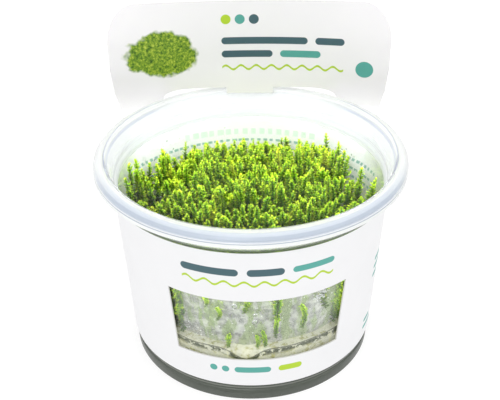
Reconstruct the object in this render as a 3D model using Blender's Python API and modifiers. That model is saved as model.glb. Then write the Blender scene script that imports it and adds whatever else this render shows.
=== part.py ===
"""Clear culture cup with a press-on lid, a white card sleeve with a header, gel and moss tufts.

The cup stands on the XY plane with its axis on Z. Its front, with the window, faces -Y.
"""

import math
import random

import bmesh
import bpy
from mathutils import Vector

MM = 0.001

# Cup: a straight tapered wall, with a ledge under the lid and a rolled rim
CUP_BASE_RADIUS = 39.3 * MM
CUP_TAPER = 0.0689
CUP_WALL = 0.9 * MM
FOOT_INNER_RADIUS = 34.6 * MM
FOOT_RADIUS = 39.4 * MM
FOOT_BAND_TOP = 4.0 * MM
FOOT_BAND_PROUD = 0.4 * MM
FLOOR_UNDERSIDE = 0.8 * MM
FLOOR_TOP = 2.0 * MM
LEDGE_HEIGHT = 60.0 * MM
LEDGE_RADIUS = 45.7 * MM
RIM_HEIGHT = 67.6 * MM
RIM_RADIUS = 48.8 * MM

# Lid: a panel sunk inside a raised ring, and a skirt that presses over the cup's rim
LID_RADIUS = 49.8 * MM
LID_CREST_RADIUS = 46.3 * MM
LID_CREST_HEIGHT = 69.55 * MM
PANEL_RADIUS = 43.84 * MM
PANEL_TOP = 61.95 * MM
PANEL_THICKNESS = 0.65 * MM
SKIRT_BOTTOM = 65.1 * MM

# Card sleeve: a wrap on the cup's wall, running up behind the lid as a header
CARD = 0.45 * MM
CARD_GAP = 0.3 * MM
WRAP_BOTTOM = 6.7 * MM
WRAP_TOP = 59.6 * MM
WINDOW_BOTTOM = 17.6 * MM
WINDOW_TOP = 41.6 * MM
WINDOW_TURN = math.radians(2.8)
WINDOW_HALF_ANGLE = math.radians(38.1)
WINDOW_SPLAY = math.radians(0.9)
HEADER_TOP = 101.9 * MM
HEADER_HALF_WIDTH = 48.4 * MM
HEADER_CORNER_WIDTH = 10.0 * MM
HEADER_CORNER_HEIGHT = 12.5 * MM
SLOT_HALF_WIDTH = 32.0 * MM
SLOT_NOTCH = 27.4 * MM
SLOT_NOTCH_BOTTOM = 57.0 * MM
SLOT_TOP = 70.7 * MM
SLOT_SHOULDER = 22.0 * MM
SLOT_SHOULDER_DROP = 3.4 * MM
TAB_HALF_WIDTH = 8.45 * MM
TAB_BOTTOM = 68.4 * MM

# Gel and moss
GAP = 0.3 * MM
GEL_TOP = 22.0 * MM
TUFT_BASE = GEL_TOP + GAP
TUFT_EDGE_GAP = 0.6 * MM
MIDDLE_TUFT_RADIUS = 12.5 * MM

TURNED_STEPS = 56


def clear_scene():
    for obj in list(bpy.data.objects):
        bpy.data.objects.remove(obj, do_unlink=True)


def make_collection(name):
    collection = bpy.data.collections.new(name)
    bpy.context.scene.collection.children.link(collection)
    return collection


def make_material(name, colour, roughness, transmission=0.0, ior=1.5):
    material = bpy.data.materials.new(name)
    material.use_nodes = True
    shader = material.node_tree.nodes["Principled BSDF"]
    shader.inputs["Base Color"].default_value = (*colour, 1.0)
    shader.inputs["Roughness"].default_value = roughness
    shader.inputs["Transmission Weight"].default_value = transmission
    shader.inputs["IOR"].default_value = ior
    return material


def add_object(name, mesh, material, collection):
    obj = bpy.data.objects.new(name, mesh)
    mesh.materials.append(material)
    collection.objects.link(obj)
    return obj


def cup_radius(height):
    """Outer radius of the cup's tapered wall."""
    return CUP_BASE_RADIUS + CUP_TAPER * height


def turned(name, profile, material, collection, steps=TURNED_STEPS):
    """Turns a profile of (radius, height) points, which starts and ends on the axis."""
    mesh = bpy.data.meshes.new(name)
    points = [(radius, 0.0, height) for radius, height in profile]
    edges = [(i, i + 1) for i in range(len(points) - 1)]
    mesh.from_pydata(points, edges, [])
    obj = add_object(name, mesh, material, collection)
    screw = obj.modifiers.new("Turn", "SCREW")
    screw.axis = "Z"
    screw.steps = steps
    screw.render_steps = steps
    screw.use_merge_vertices = True
    screw.merge_threshold = 0.00001
    screw.use_normal_calculate = False
    return obj


def cup_profile():
    """Up the inside from the floor, over the rolled rim and down the outside to the foot."""
    inner = LEDGE_HEIGHT + 0.75 * MM
    return [
        (0.0, FLOOR_TOP),
        (cup_radius(FLOOR_TOP) - CUP_WALL - 0.9 * MM, FLOOR_TOP),
        (cup_radius(FLOOR_TOP) - CUP_WALL, FLOOR_TOP + 1.0 * MM),
        (cup_radius(inner) - CUP_WALL, inner),
        (LEDGE_RADIUS - 0.75 * MM, inner + 0.65 * MM),
        (LEDGE_RADIUS + 1.2 * MM, RIM_HEIGHT),
        (RIM_RADIUS - 0.4 * MM, RIM_HEIGHT),
        (RIM_RADIUS, RIM_HEIGHT - 0.5 * MM),
        (RIM_RADIUS - 0.05 * MM, RIM_HEIGHT - 1.9 * MM),
        (RIM_RADIUS - 0.75 * MM, RIM_HEIGHT - 1.9 * MM),
        (RIM_RADIUS - 0.85 * MM, RIM_HEIGHT - 0.8 * MM),
        (LEDGE_RADIUS + 1.9 * MM, RIM_HEIGHT - 0.8 * MM),
        (LEDGE_RADIUS, LEDGE_HEIGHT + 0.7 * MM),
        (cup_radius(LEDGE_HEIGHT), LEDGE_HEIGHT),
        (cup_radius(FOOT_BAND_TOP + 0.3 * MM), FOOT_BAND_TOP + 0.3 * MM),
        (cup_radius(FOOT_BAND_TOP) + FOOT_BAND_PROUD, FOOT_BAND_TOP),
        (cup_radius(0.4 * MM) + FOOT_BAND_PROUD, 0.4 * MM),
        (FOOT_RADIUS, 0.0),
        (FOOT_INNER_RADIUS, 0.0),
        (FOOT_INNER_RADIUS - 0.5 * MM, FLOOR_UNDERSIDE),
        (0.0, FLOOR_UNDERSIDE),
    ]


def lid_profile():
    """Out over the sunk panel, up and over the raised ring, down the skirt and back below."""
    under = PANEL_TOP - PANEL_THICKNESS
    return [
        (0.0, PANEL_TOP),
        (PANEL_RADIUS - 0.5 * MM, PANEL_TOP),
        (PANEL_RADIUS, PANEL_TOP + 0.3 * MM),
        (LID_CREST_RADIUS - 0.65 * MM, LID_CREST_HEIGHT - 0.55 * MM),
        (LID_CREST_RADIUS, LID_CREST_HEIGHT),
        (LID_CREST_RADIUS + 0.8 * MM, LID_CREST_HEIGHT - 0.55 * MM),
        (LID_CREST_RADIUS + 2.1 * MM, LID_CREST_HEIGHT - 0.75 * MM),
        (LID_RADIUS - 0.8 * MM, LID_CREST_HEIGHT - 1.15 * MM),
        (LID_RADIUS - 0.15 * MM, LID_CREST_HEIGHT - 2.0 * MM),
        (LID_RADIUS - 0.35 * MM, LID_CREST_HEIGHT - 2.6 * MM),
        (LID_RADIUS, LID_CREST_HEIGHT - 3.0 * MM),
        (LID_RADIUS, SKIRT_BOTTOM),
        (LID_RADIUS - 0.6 * MM, SKIRT_BOTTOM),
        (LID_RADIUS - 0.7 * MM, LID_CREST_HEIGHT - 1.95 * MM),
        (LID_RADIUS - 1.2 * MM, LID_CREST_HEIGHT - 1.5 * MM),
        (LID_CREST_RADIUS + 0.5 * MM, LID_CREST_HEIGHT - 1.4 * MM),
        (PANEL_RADIUS + 0.65 * MM, under + 0.2 * MM),
        (PANEL_RADIUS + 0.2 * MM, under),
        (0.0, under),
    ]


def gel_profile():
    """The set gel, clear of the cup by the gap all round."""
    bottom = FLOOR_TOP + GAP
    top_radius = cup_radius(GEL_TOP) - CUP_WALL - GAP
    side_radius = cup_radius(bottom) - CUP_WALL - GAP
    return [
        (0.0, GEL_TOP),
        (top_radius, GEL_TOP),
        (side_radius, bottom + 1.2 * MM),
        (side_radius - 1.1 * MM, bottom),
        (0.0, bottom),
    ]


# How the card's back flattens with height: (height, curvature in 1/mm, distance behind the
# axis and half width along the card, both in mm). It lies round on the cup at the bottom,
# passes outside the lid at its two ends and stands as a gently curved header at the top.
HEADER_STATIONS = [
    (50.0, None, None, 47.0),
    (54.0, 0.0208, 43.6, 46.9),
    (57.0, 0.0189, 43.9, 47.0),
    (59.6, 0.0162, 44.1, 46.6),
    (62.0, 0.0112, 43.9, 45.6),
    (64.7, 0.0057, 43.3, 45.7),
    (68.4, 0.0046, 43.0, 46.5),
    (70.7, 0.0046, 43.0, 47.3),
    (80.0, 0.0056, 43.2, 48.3),
    (90.0, 0.0052, 43.6, 48.4),
    (104.0, 0.0030, 44.4, 48.4),
]

# Columns of the card: fractions of the header's half width, then of each side of the wrap
HEADER_FRACTIONS = [0.0, 0.087, TAB_HALF_WIDTH / HEADER_HALF_WIDTH, 0.31,
                    SLOT_SHOULDER / HEADER_HALF_WIDTH, SLOT_NOTCH / HEADER_HALF_WIDTH,
                    0.62, SLOT_HALF_WIDTH / HEADER_HALF_WIDTH, 0.74, 0.80, 0.86, 0.91, 0.945, 0.972,
                    0.99, 1.0]
SIDE_COLUMNS = 10
WINDOW_COLUMNS = 12


def card_radius(height):
    """Radius of the middle of the card where it lies on the cup."""
    return cup_radius(height) + CARD_GAP + CARD / 2


def station(height):
    """(curvature, distance behind the axis, half width) of the card's back, in metres."""
    rows = HEADER_STATIONS
    mm = min(max(height / MM, rows[0][0]), rows[-1][0])
    for low, high in zip(rows, rows[1:]):
        if mm <= high[0]:
            break
    values = []
    for row in (low, high):
        if row[1] is None:
            values.append((MM / card_radius(row[0] * MM), card_radius(row[0] * MM) / MM, row[3]))
        else:
            values.append(row[1:])
    t = (mm - low[0]) / (high[0] - low[0])
    curvature, behind, half = (a + (b - a) * t for a, b in zip(*values))
    return curvature / MM, behind * MM, half * MM


def header_point(fraction, height):
    """A point of the card's back, fraction -1 to 1 across it."""
    curvature, behind, half = station(height)
    turn = fraction * half * curvature
    x = math.sin(turn) / curvature
    y = behind - (1.0 - math.cos(turn)) / curvature
    return Vector((x, y, height))


def wrap_point(angle, height):
    """A point of the round wrap; angle 0 is the back and pi the front."""
    radius = card_radius(height)
    return Vector((radius * math.sin(angle), radius * math.cos(angle), height))


def window_edge(height, side):
    """Angle of the window's edge from the back, side -1 or 1 for left or right."""
    middle = (WINDOW_BOTTOM + WINDOW_TOP) / 2
    splay = WINDOW_SPLAY * (height - middle) / (WINDOW_TOP - middle)
    splay = max(-WINDOW_SPLAY, min(WINDOW_SPLAY, splay))
    return side * math.pi - side * (WINDOW_HALF_ANGLE + splay) + WINDOW_TURN * -1.0


def back_columns():
    return [-f for f in reversed(HEADER_FRACTIONS[1:])] + HEADER_FRACTIONS


def wrap_row(height):
    """One closed row of the wrap: the back, the right side, the window and the left side."""
    half_angle = station(WRAP_TOP)[2] / card_radius(WRAP_TOP)
    flare = max(0.0, (height - 50.0 * MM) / (WRAP_TOP - 50.0 * MM))
    points = []
    for fraction in back_columns():
        round_point = wrap_point(fraction * half_angle, height)
        points.append(header_point(fraction, height) if flare > 0.0 else round_point)
    for side in (1, -1):
        start = half_angle
        stop = window_edge(height, 1) if side > 0 else -window_edge(height, -1)
        edge = header_point(side, height) if flare > 0.0 else wrap_point(side * start, height)
        pull = edge - wrap_point(side * start, height)
        columns = []
        for i in range(1, SIDE_COLUMNS + 1):
            t = i / SIDE_COLUMNS
            fade = max(0.0, 1.0 - t / 0.5) ** 2
            angle = side * (start + (stop - start) * t)
            columns.append(wrap_point(angle, height) + pull * fade)
        if side > 0:
            points += columns
            last = stop
            first = 2.0 * math.pi + window_edge(height, -1)
            for i in range(1, WINDOW_COLUMNS):
                t = i / WINDOW_COLUMNS
                points.append(wrap_point(last + (first - last) * t, height))
        else:
            points += reversed(columns)
    return points


def slot_top(fraction):
    """Height of the slot's upper edge, which turns down at both ends."""
    across = abs(fraction) * HEADER_HALF_WIDTH
    if across <= SLOT_SHOULDER:
        return SLOT_TOP
    t = min(1.0, (across - SLOT_SHOULDER) / (SLOT_HALF_WIDTH - SLOT_SHOULDER))
    return SLOT_TOP - SLOT_SHOULDER_DROP * (1.0 - math.sqrt(max(0.0, 1.0 - t * t)))


def header_outline(fraction):
    """Height of the header's top edge, with its two rounded corners."""
    across = abs(fraction) * HEADER_HALF_WIDTH
    flat = HEADER_HALF_WIDTH - HEADER_CORNER_WIDTH
    if across <= flat:
        return HEADER_TOP
    t = min(1.0, (across - flat) / HEADER_CORNER_WIDTH)
    return HEADER_TOP - HEADER_CORNER_HEIGHT * (1.0 - math.sqrt(max(0.0, 1.0 - t * t)))


def header_rows():
    """Rows above the wrap. The last ones follow the slot's edge and the header's outline."""
    rows = [[header_point(f, h * MM) for f in back_columns()] for h in (62.0, 64.7, 66.6)]
    ends = []
    for f in back_columns():
        low = min(TAB_BOTTOM, slot_top(f) - 0.4 * MM)
        ends.append(header_point(f, low))
    rows.append(ends)
    rows.append([header_point(f, slot_top(f)) for f in back_columns()])
    for t in (0.25, 0.5, 0.75, 1.0):
        row = []
        for f in back_columns():
            low = slot_top(f)
            row.append(header_point(f, low + (header_outline(f) - low) * t))
        rows.append(row)
    return rows


def card_mesh():
    """Lofts the wrap and the header, and leaves out the faces of the window and the slot."""
    bm = bmesh.new()
    wrap_heights = [WRAP_BOTTOM, WINDOW_BOTTOM, WINDOW_TOP, 50.0 * MM, 54.0 * MM,
                    SLOT_NOTCH_BOTTOM, WRAP_TOP]
    wrap = [[bm.verts.new(p) for p in wrap_row(h)] for h in wrap_heights]
    header = [[bm.verts.new(p) for p in row] for row in header_rows()]
    columns = back_columns()
    back_count = len(columns)
    window_first = back_count - 1 + SIDE_COLUMNS
    window_last = window_first + WINDOW_COLUMNS
    slot_edge = SLOT_HALF_WIDTH / HEADER_HALF_WIDTH
    notch_edge = SLOT_NOTCH / HEADER_HALF_WIDTH
    tab_edge = TAB_HALF_WIDTH / HEADER_HALF_WIDTH

    def middle(i):
        return abs(columns[i] + columns[i + 1]) / 2

    for low, high, height in zip(wrap, wrap[1:], wrap_heights):
        count = len(low)
        for i in range(count):
            in_window = window_first <= i < window_last and height == WINDOW_BOTTOM
            in_notch = (height == SLOT_NOTCH_BOTTOM and i < back_count - 1
                        and notch_edge < middle(i) < slot_edge)
            if not in_window and not in_notch:
                j = (i + 1) % count
                bm.faces.new((low[i], high[i], high[j], low[j]))
    rows = [wrap[-1][:back_count]] + header
    slot_rows = 5
    for k, (low, high) in enumerate(zip(rows, rows[1:])):
        for i in range(back_count - 1):
            in_slot = k < slot_rows and middle(i) < slot_edge
            in_tab = k == slot_rows - 1 and middle(i) < tab_edge
            if not in_slot or in_tab:
                bm.faces.new((low[i], high[i], high[i + 1], low[i + 1]))
    loose = [v for v in bm.verts if not v.link_faces]
    bmesh.ops.delete(bm, geom=loose, context="VERTS")
    bmesh.ops.recalc_face_normals(bm, faces=bm.faces)
    mesh = bpy.data.meshes.new("card_sleeve")
    bm.to_mesh(mesh)
    bm.free()
    return mesh


def card_sleeve(material, collection):
    obj = add_object("card_sleeve", card_mesh(), material, collection)
    solid = obj.modifiers.new("Card thickness", "SOLIDIFY")
    solid.thickness = CARD
    solid.offset = 0.0
    solid.use_even_offset = True
    return obj


def tuft_wall_radius(height):
    """Radius that the moss reaches at this height, clear of the cup's wall."""
    return cup_radius(height) - CUP_WALL - TUFT_EDGE_GAP


def sector_edge(radius, turn, phase):
    """Angle of the wavy line between two tufts, from +X."""
    return turn + math.radians(5.0) * math.sin(0.19 * radius / MM + phase)


def warp_to_sector(u, v, turns, phases):
    """Maps the unit square to the floor plan of an outer tuft, as (x, y)."""
    inner = MIDDLE_TUFT_RADIUS + TUFT_EDGE_GAP
    radius = inner + (tuft_wall_radius(TUFT_BASE) - inner) * v
    clear = TUFT_EDGE_GAP / 2 / radius
    start = sector_edge(radius, turns[0], phases[0]) + clear
    stop = sector_edge(radius, turns[1], phases[1]) - clear
    angle = start + (stop - start) * u
    return radius * math.cos(angle), radius * math.sin(angle)


def raise_tips(verts, tip_height, spread, seed):
    """Lifts the upper points to shoot tips and the hollows between them."""
    rng = random.Random(seed)
    for index, vert in enumerate(verts):
        if vert.tag:
            top = tip_height(vert.co.x, vert.co.y)
            tip = (vert.index + int(vert.index / 7)) % 2 == 0
            drop = rng.uniform(0.0, 0.25) if tip else rng.uniform(0.6, 1.0)
            height = top - spread * drop
            lean = tuft_wall_radius(height) / tuft_wall_radius(TUFT_BASE)
            vert.co.x *= lean
            vert.co.y *= lean
            vert.co.z = height


def tuft_from_plan(name, bm, tip_height, spread, seed, material, collection):
    """Extrudes a flat plan, upper points tagged, into a tuft with a rough top."""
    for index, vert in enumerate(bm.verts):
        vert.index = index
        vert.co.z = TUFT_BASE
    made = bmesh.ops.extrude_face_region(bm, geom=list(bm.faces))
    lifted = [g for g in made["geom"] if isinstance(g, bmesh.types.BMVert)]
    for vert in bm.verts:
        vert.tag = False
    for index, vert in enumerate(lifted):
        vert.tag = True
        vert.index = index
    raise_tips(lifted, tip_height, spread, seed)
    low_faces = [f for f in bm.faces if all(not v.tag for v in f.verts)]
    bmesh.ops.dissolve_faces(bm, faces=low_faces)
    bmesh.ops.recalc_face_normals(bm, faces=bm.faces)
    mesh = bpy.data.meshes.new(name)
    bm.to_mesh(mesh)
    bm.free()
    return add_object(name, mesh, material, collection)


def outer_tuft(name, turns, phases, tip_height, spread, seed, material, collection):
    bm = bmesh.new()
    bmesh.ops.create_grid(bm, x_segments=6, y_segments=5, size=0.5)
    for vert in bm.verts:
        x, y = warp_to_sector(vert.co.x + 0.5, vert.co.y + 0.5, turns, phases)
        vert.co.x = x
        vert.co.y = y
    return tuft_from_plan(name, bm, tip_height, spread, seed, material, collection)


def middle_tuft(name, tip_height, spread, seed, material, collection):
    bm = bmesh.new()
    bmesh.ops.create_grid(bm, x_segments=5, y_segments=5, size=1.0)
    for vert in bm.verts:
        x = vert.co.x
        y = vert.co.y
        vert.co.x = MIDDLE_TUFT_RADIUS * 0.98 * x * math.sqrt(1.0 - y * y / 2.0)
        vert.co.y = MIDDLE_TUFT_RADIUS * 0.98 * y * math.sqrt(1.0 - x * x / 2.0)
    return tuft_from_plan(name, bm, tip_height, spread, seed, material, collection)


def moss_height(x, y):
    """Height of the tallest shoots: high along the wall at the back and lower in the middle."""
    reach = math.hypot(x, y) / tuft_wall_radius(TUFT_BASE)
    back = max(0.0, y) / tuft_wall_radius(TUFT_BASE)
    return (47.5 + 5.0 * reach ** 2 + 3.5 * back * reach) * MM


def build():
    clear_scene()
    collection = make_collection("tissue culture moss cup")
    clear = {"colour": (0.92, 0.96, 0.97), "roughness": 0.05, "transmission": 1.0}
    turned("cup", cup_profile(), make_material("cup plastic", **clear), collection)
    turned("lid", lid_profile(), make_material("lid plastic", **clear), collection)
    card_sleeve(make_material("white card", (0.9, 0.9, 0.9), 0.55), collection)
    gel = make_material("nutrient gel", (0.85, 0.84, 0.66), 0.1, 0.9, 1.34)
    turned("gel", gel_profile(), gel, collection)

    moss_colours = [(0.16, 0.33, 0.03), (0.2, 0.4, 0.04), (0.12, 0.27, 0.03)]
    tufts = [
        ("moss_right", -28.0, 34.0),
        ("moss_back_right", 34.0, 88.0),
        ("moss_back_left", 88.0, 147.0),
        ("moss_left", 147.0, 209.0),
        ("moss_front_left", 209.0, 272.0),
        ("moss_front_right", 272.0, 332.0),
    ]
    for index, (name, start, stop) in enumerate(tufts):
        turns = (math.radians(start), math.radians(stop))
        phases = (1.7 * index, 1.7 * ((index + 1) % len(tufts)))
        material = make_material(name, moss_colours[index % 3], 0.6)
        outer_tuft(name, turns, phases, moss_height, 9.0 * MM, index, material, collection)
    middle = make_material("moss_middle", moss_colours[0], 0.6)
    middle_tuft("moss_middle", moss_height, 8.0 * MM, 20, middle, collection)


build()
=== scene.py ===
# %% [markdown]
# # Weeping moss in a clear culture cup
# The real object is a clear plastic cup about as wide as a hand, in which an aquarium moss is
# grown on a layer of clear gel. A clear lid closes it, and one white card wraps round the wall
# and stands up behind the lid as a header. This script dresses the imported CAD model. It builds
# finer pieces where the CAD has plain solids, and every length is in metres in the CAD frame.

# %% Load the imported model
import math
import random

import bmesh
import bpy
from mathutils import Matrix, Vector, noise


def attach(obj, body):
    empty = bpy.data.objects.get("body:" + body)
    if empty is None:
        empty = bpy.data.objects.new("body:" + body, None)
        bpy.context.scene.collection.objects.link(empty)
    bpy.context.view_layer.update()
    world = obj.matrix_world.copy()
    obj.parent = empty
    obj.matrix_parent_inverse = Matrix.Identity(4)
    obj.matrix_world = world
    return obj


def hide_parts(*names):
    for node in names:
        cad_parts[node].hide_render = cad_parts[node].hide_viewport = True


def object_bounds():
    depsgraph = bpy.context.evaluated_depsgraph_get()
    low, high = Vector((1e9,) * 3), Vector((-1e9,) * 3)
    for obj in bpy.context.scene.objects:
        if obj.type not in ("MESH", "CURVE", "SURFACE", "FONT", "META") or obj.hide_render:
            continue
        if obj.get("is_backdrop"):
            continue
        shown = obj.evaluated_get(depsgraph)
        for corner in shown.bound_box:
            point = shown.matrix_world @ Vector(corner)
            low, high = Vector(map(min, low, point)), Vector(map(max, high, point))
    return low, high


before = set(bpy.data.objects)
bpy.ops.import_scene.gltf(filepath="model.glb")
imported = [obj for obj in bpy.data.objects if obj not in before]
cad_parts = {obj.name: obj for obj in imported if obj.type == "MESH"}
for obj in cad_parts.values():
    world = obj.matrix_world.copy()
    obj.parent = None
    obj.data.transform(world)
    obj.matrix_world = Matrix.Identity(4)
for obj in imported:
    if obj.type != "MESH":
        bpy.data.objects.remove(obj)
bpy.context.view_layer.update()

MM = 0.001

# %% [markdown]
# ## The camera
# The camera stands where the photographer stood: in front, looking down at about 32 degrees
# through a fairly long lens. These numbers come from fitting the outlines of the rim, the base
# and the card in the photograph, so they are set before anything is modelled.

# %% Camera
PICTURE_WIDTH = 500
FOCAL_LENGTH_IN_PIXELS = 1002.3
LOOKING_DOWN = math.radians(31.76)
LEAN_OF_THE_CAMERA = math.radians(-0.6)
CAMERA_PLACE = (-0.33 * MM, -278.3 * MM, 222.6 * MM)

scene = bpy.context.scene
lens = bpy.data.cameras.new("photo camera")
lens.sensor_width = 36.0
lens.lens = FOCAL_LENGTH_IN_PIXELS * lens.sensor_width / PICTURE_WIDTH
camera = bpy.data.objects.new("photo camera", lens)
camera.location = CAMERA_PLACE
aim = Matrix.Rotation(math.radians(90) - LOOKING_DOWN, 3, "X")
camera.rotation_euler = (aim @ Matrix.Rotation(LEAN_OF_THE_CAMERA, 3, "Z")).to_euler()
scene.collection.objects.link(camera)
scene.camera = camera
print("lens in mm:", round(lens.lens, 1))

# %% [markdown]
# ## Shader maths that reads like maths
# A material here is a small tree of nodes. Wiring each Math node by hand hides the idea, so one
# class wraps a socket and lets plus, minus and times add the node. A second class holds the
# material: one method adds any kind of node, and short ones add those that come back often.
# Settings such as a Math node's operation go in before the links, because they can change
# which sockets a node shows.

# %% The two helper classes
def operator(operation, swapped=False):
    """A method that adds the Math node for one of Python's operators."""
    def method(self, other):
        pair = (other, self) if swapped else (self, other)
        return self.finish.maths(operation, *pair)
    return method


class Wire:
    """A value on its way through a material."""

    def __init__(self, finish, socket):
        self.finish = finish
        self.socket = socket

    def __abs__(self):
        return self.finish.maths("ABSOLUTE", self)

    __add__ = __radd__ = operator("ADD")
    __mul__ = __rmul__ = operator("MULTIPLY")
    __sub__ = operator("SUBTRACT")
    __rsub__ = operator("SUBTRACT", swapped=True)
    __truediv__ = operator("DIVIDE")


class Finish:
    """A material and the nodes in it."""

    def __init__(self, name):
        self.material = bpy.data.materials.new(name)
        self.material.use_nodes = True
        self.tree = self.material.node_tree
        self.tree.nodes.clear()

    def plug(self, socket, value):
        if isinstance(value, Wire):
            self.tree.links.new(value.socket, socket)
        elif socket.type == "RGBA" and len(value) == 3:
            socket.default_value = (*value, 1.0)
        else:
            socket.default_value = value

    def node(self, kind, settings=None, inputs=None, out=0):
        """Adds a node: its settings first, then the values or links of its sockets."""
        node = self.tree.nodes.new(kind)
        for name, value in (settings or {}).items():
            if name == "stops":
                ramp = node.color_ramp
                while len(ramp.elements) < len(value):
                    ramp.elements.new(1.0)
                for element, (place, colour) in zip(ramp.elements, value):
                    element.position = place
                    element.color = (*colour, 1.0)
            else:
                setattr(node, name, value)
        for name, value in (inputs or {}).items():
            self.plug(node.inputs[name], value)
        return Wire(self, node.outputs[out])

    def maths(self, operation, *values):
        return self.node("ShaderNodeMath", {"operation": operation}, dict(enumerate(values)))

    def stored(self, name):
        """A number that the mesh stores on its points."""
        return self.node("ShaderNodeAttribute", {"attribute_name": name}, out="Fac")

    def ramp(self, value, stops):
        """Turns a value into a colour by a list of (place, colour)."""
        return self.node("ShaderNodeValToRGB", {"stops": stops}, {0: value})

    def bsdf(self, kind, colour):
        """A plain shader that has only a colour, such as Transparent."""
        return self.node("ShaderNodeBsdf" + kind, None, {"Color": colour})

    def mix(self, share, first, second):
        """Mixes two shaders; share 0 gives the first one."""
        return self.node("ShaderNodeMixShader", None, {0: share, 1: first, 2: second})

    def colours(self, factor, first, second, blend="MIX"):
        """Mixes two colours; factor 0 gives the first one."""
        settings = {"data_type": "RGBA", "blend_type": blend}
        return self.node("ShaderNodeMix", settings, {0: factor, 6: first, 7: second}, out=2)

    def show(self, shader):
        output = self.tree.nodes.new("ShaderNodeOutputMaterial")
        self.plug(output.inputs["Surface"], shader)
        print(self.material.name, "has", len(self.tree.nodes), "nodes")
        return self.material


# %% [markdown]
# Small recipes come back in many finishes: where we are on the object, soft noise of a given
# grain size, soft steps that turn a distance into a mask, a bump, and the main shader. Object
# coordinates are in metres, so a grain of one millimetre needs a noise scale of 1000. A wire
# knows its material, so most recipes only need the wire.

# %% Small shader recipes
def where(finish):
    """Object coordinates, and X, Y and Z in millimetres."""
    place = finish.node("ShaderNodeTexCoord", out="Object")
    parts = finish.tree.nodes.new("ShaderNodeSeparateXYZ")
    finish.plug(parts.inputs[0], place)
    x, y, z = [Wire(finish, parts.outputs[name]) * 1000.0 for name in "XYZ"]
    return place, x, y, z


def grain(place, size, detail=2.0, roughness=0.5):
    """Noise between 0 and 1 whose grains are about this many metres wide."""
    inputs = {"Vector": place, "Scale": 1.0 / size, "Detail": detail, "Roughness": roughness}
    return place.finish.node("ShaderNodeTexNoise", None, inputs)


def step(value, start, end):
    """A mask that goes smoothly from 0 at start to 1 at end."""
    inputs = {"Value": value, "From Min": start, "From Max": end}
    return value.finish.node("ShaderNodeMapRange", {"interpolation_type": "SMOOTHSTEP"}, inputs)


def between(value, start, full, fades, gone):
    """A mask that rises from start to full and falls again from fades to gone."""
    return step(value, start, full) * (1.0 - step(value, fades, gone))


def relief(height, distance, strength):
    """A bump from a height between 0 and 1, with its real depth in metres."""
    inputs = {"Height": height, "Distance": distance, "Strength": strength}
    return height.finish.node("ShaderNodeBump", None, inputs)


def principled(finish, **inputs):
    named = {name.replace("_", " "): value for name, value in inputs.items()}
    return finish.node("ShaderNodeBsdfPrincipled", None, named)


# %% [markdown]
# ## The clear plastic
# The cup and the lid are thin moulded plastic. Light is bent a little at each face, and what
# makes the plastic visible is mostly its gloss. A real lamp lights the moss through the lid,
# but a renderer has trouble finding lamps through glass. So rays that only carry light, the
# shadow and diffuse ones, see a plain transparent sheet in place of the glass.

# %% Light passes, the eye sees glass
def lets_lamps_through(finish, glass, tint):
    """Glass to the eye, and a transparent sheet to the light that falls on what is behind."""
    path = finish.tree.nodes.new("ShaderNodeLightPath")
    shadow = Wire(finish, path.outputs["Is Shadow Ray"])
    diffuse = Wire(finish, path.outputs["Is Diffuse Ray"])
    carries_light = finish.maths("MAXIMUM", shadow, diffuse)
    return finish.mix(carries_light, glass, finish.bsdf("Transparent", tint))


def milky(finish, colour, share_through, roughness):
    """Plastic that scatters light: seen from outside it is pale and soft."""
    skin = principled(finish, Base_Color=colour, Roughness=roughness, IOR=1.47)
    return finish.mix(share_through, skin, finish.bsdf("Translucent", colour))


# %% [markdown]
# The lid's flat panel hardly mirrors anything in the photograph, while its thick ring looks
# milky, with a blue-grey band under the crest. That band is painted shade and reflection on the
# ring's outer wall, strongest at the front, and thin painted lines stand for the shade at the
# bead, the reflection along the crest and the dark edge of the panel. A low index of refraction
# keeps the panel calm.
# The distance from the axis tells panel from ring, and the height picks the band. All the
# places in the names below are in millimetres, from the axis or above the table.

# %% Lid finish
RING_STARTS = (43.6, 44.3)
OUTSIDE_STARTS = (46.4, 46.7)
# Where the painted shade bands lie:
BAND_STARTS = (47.3, 47.7)
BAND_RISES = (66.7, 66.9)
BAND_FADES = (68.9, 69.1)
DEEP_RISES = (67.1, 67.3)
DEEP_FADES = (68.3, 68.6)
# Heights and radii of the painted lines at the bead, the crest and the panel's edge:
BEAD_HEIGHT = 66.5
CREST_LINE = 46.3
PANEL_LINE = 43.75
FRONT_OF_THE_LID = (6.0, 34.0)


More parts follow.
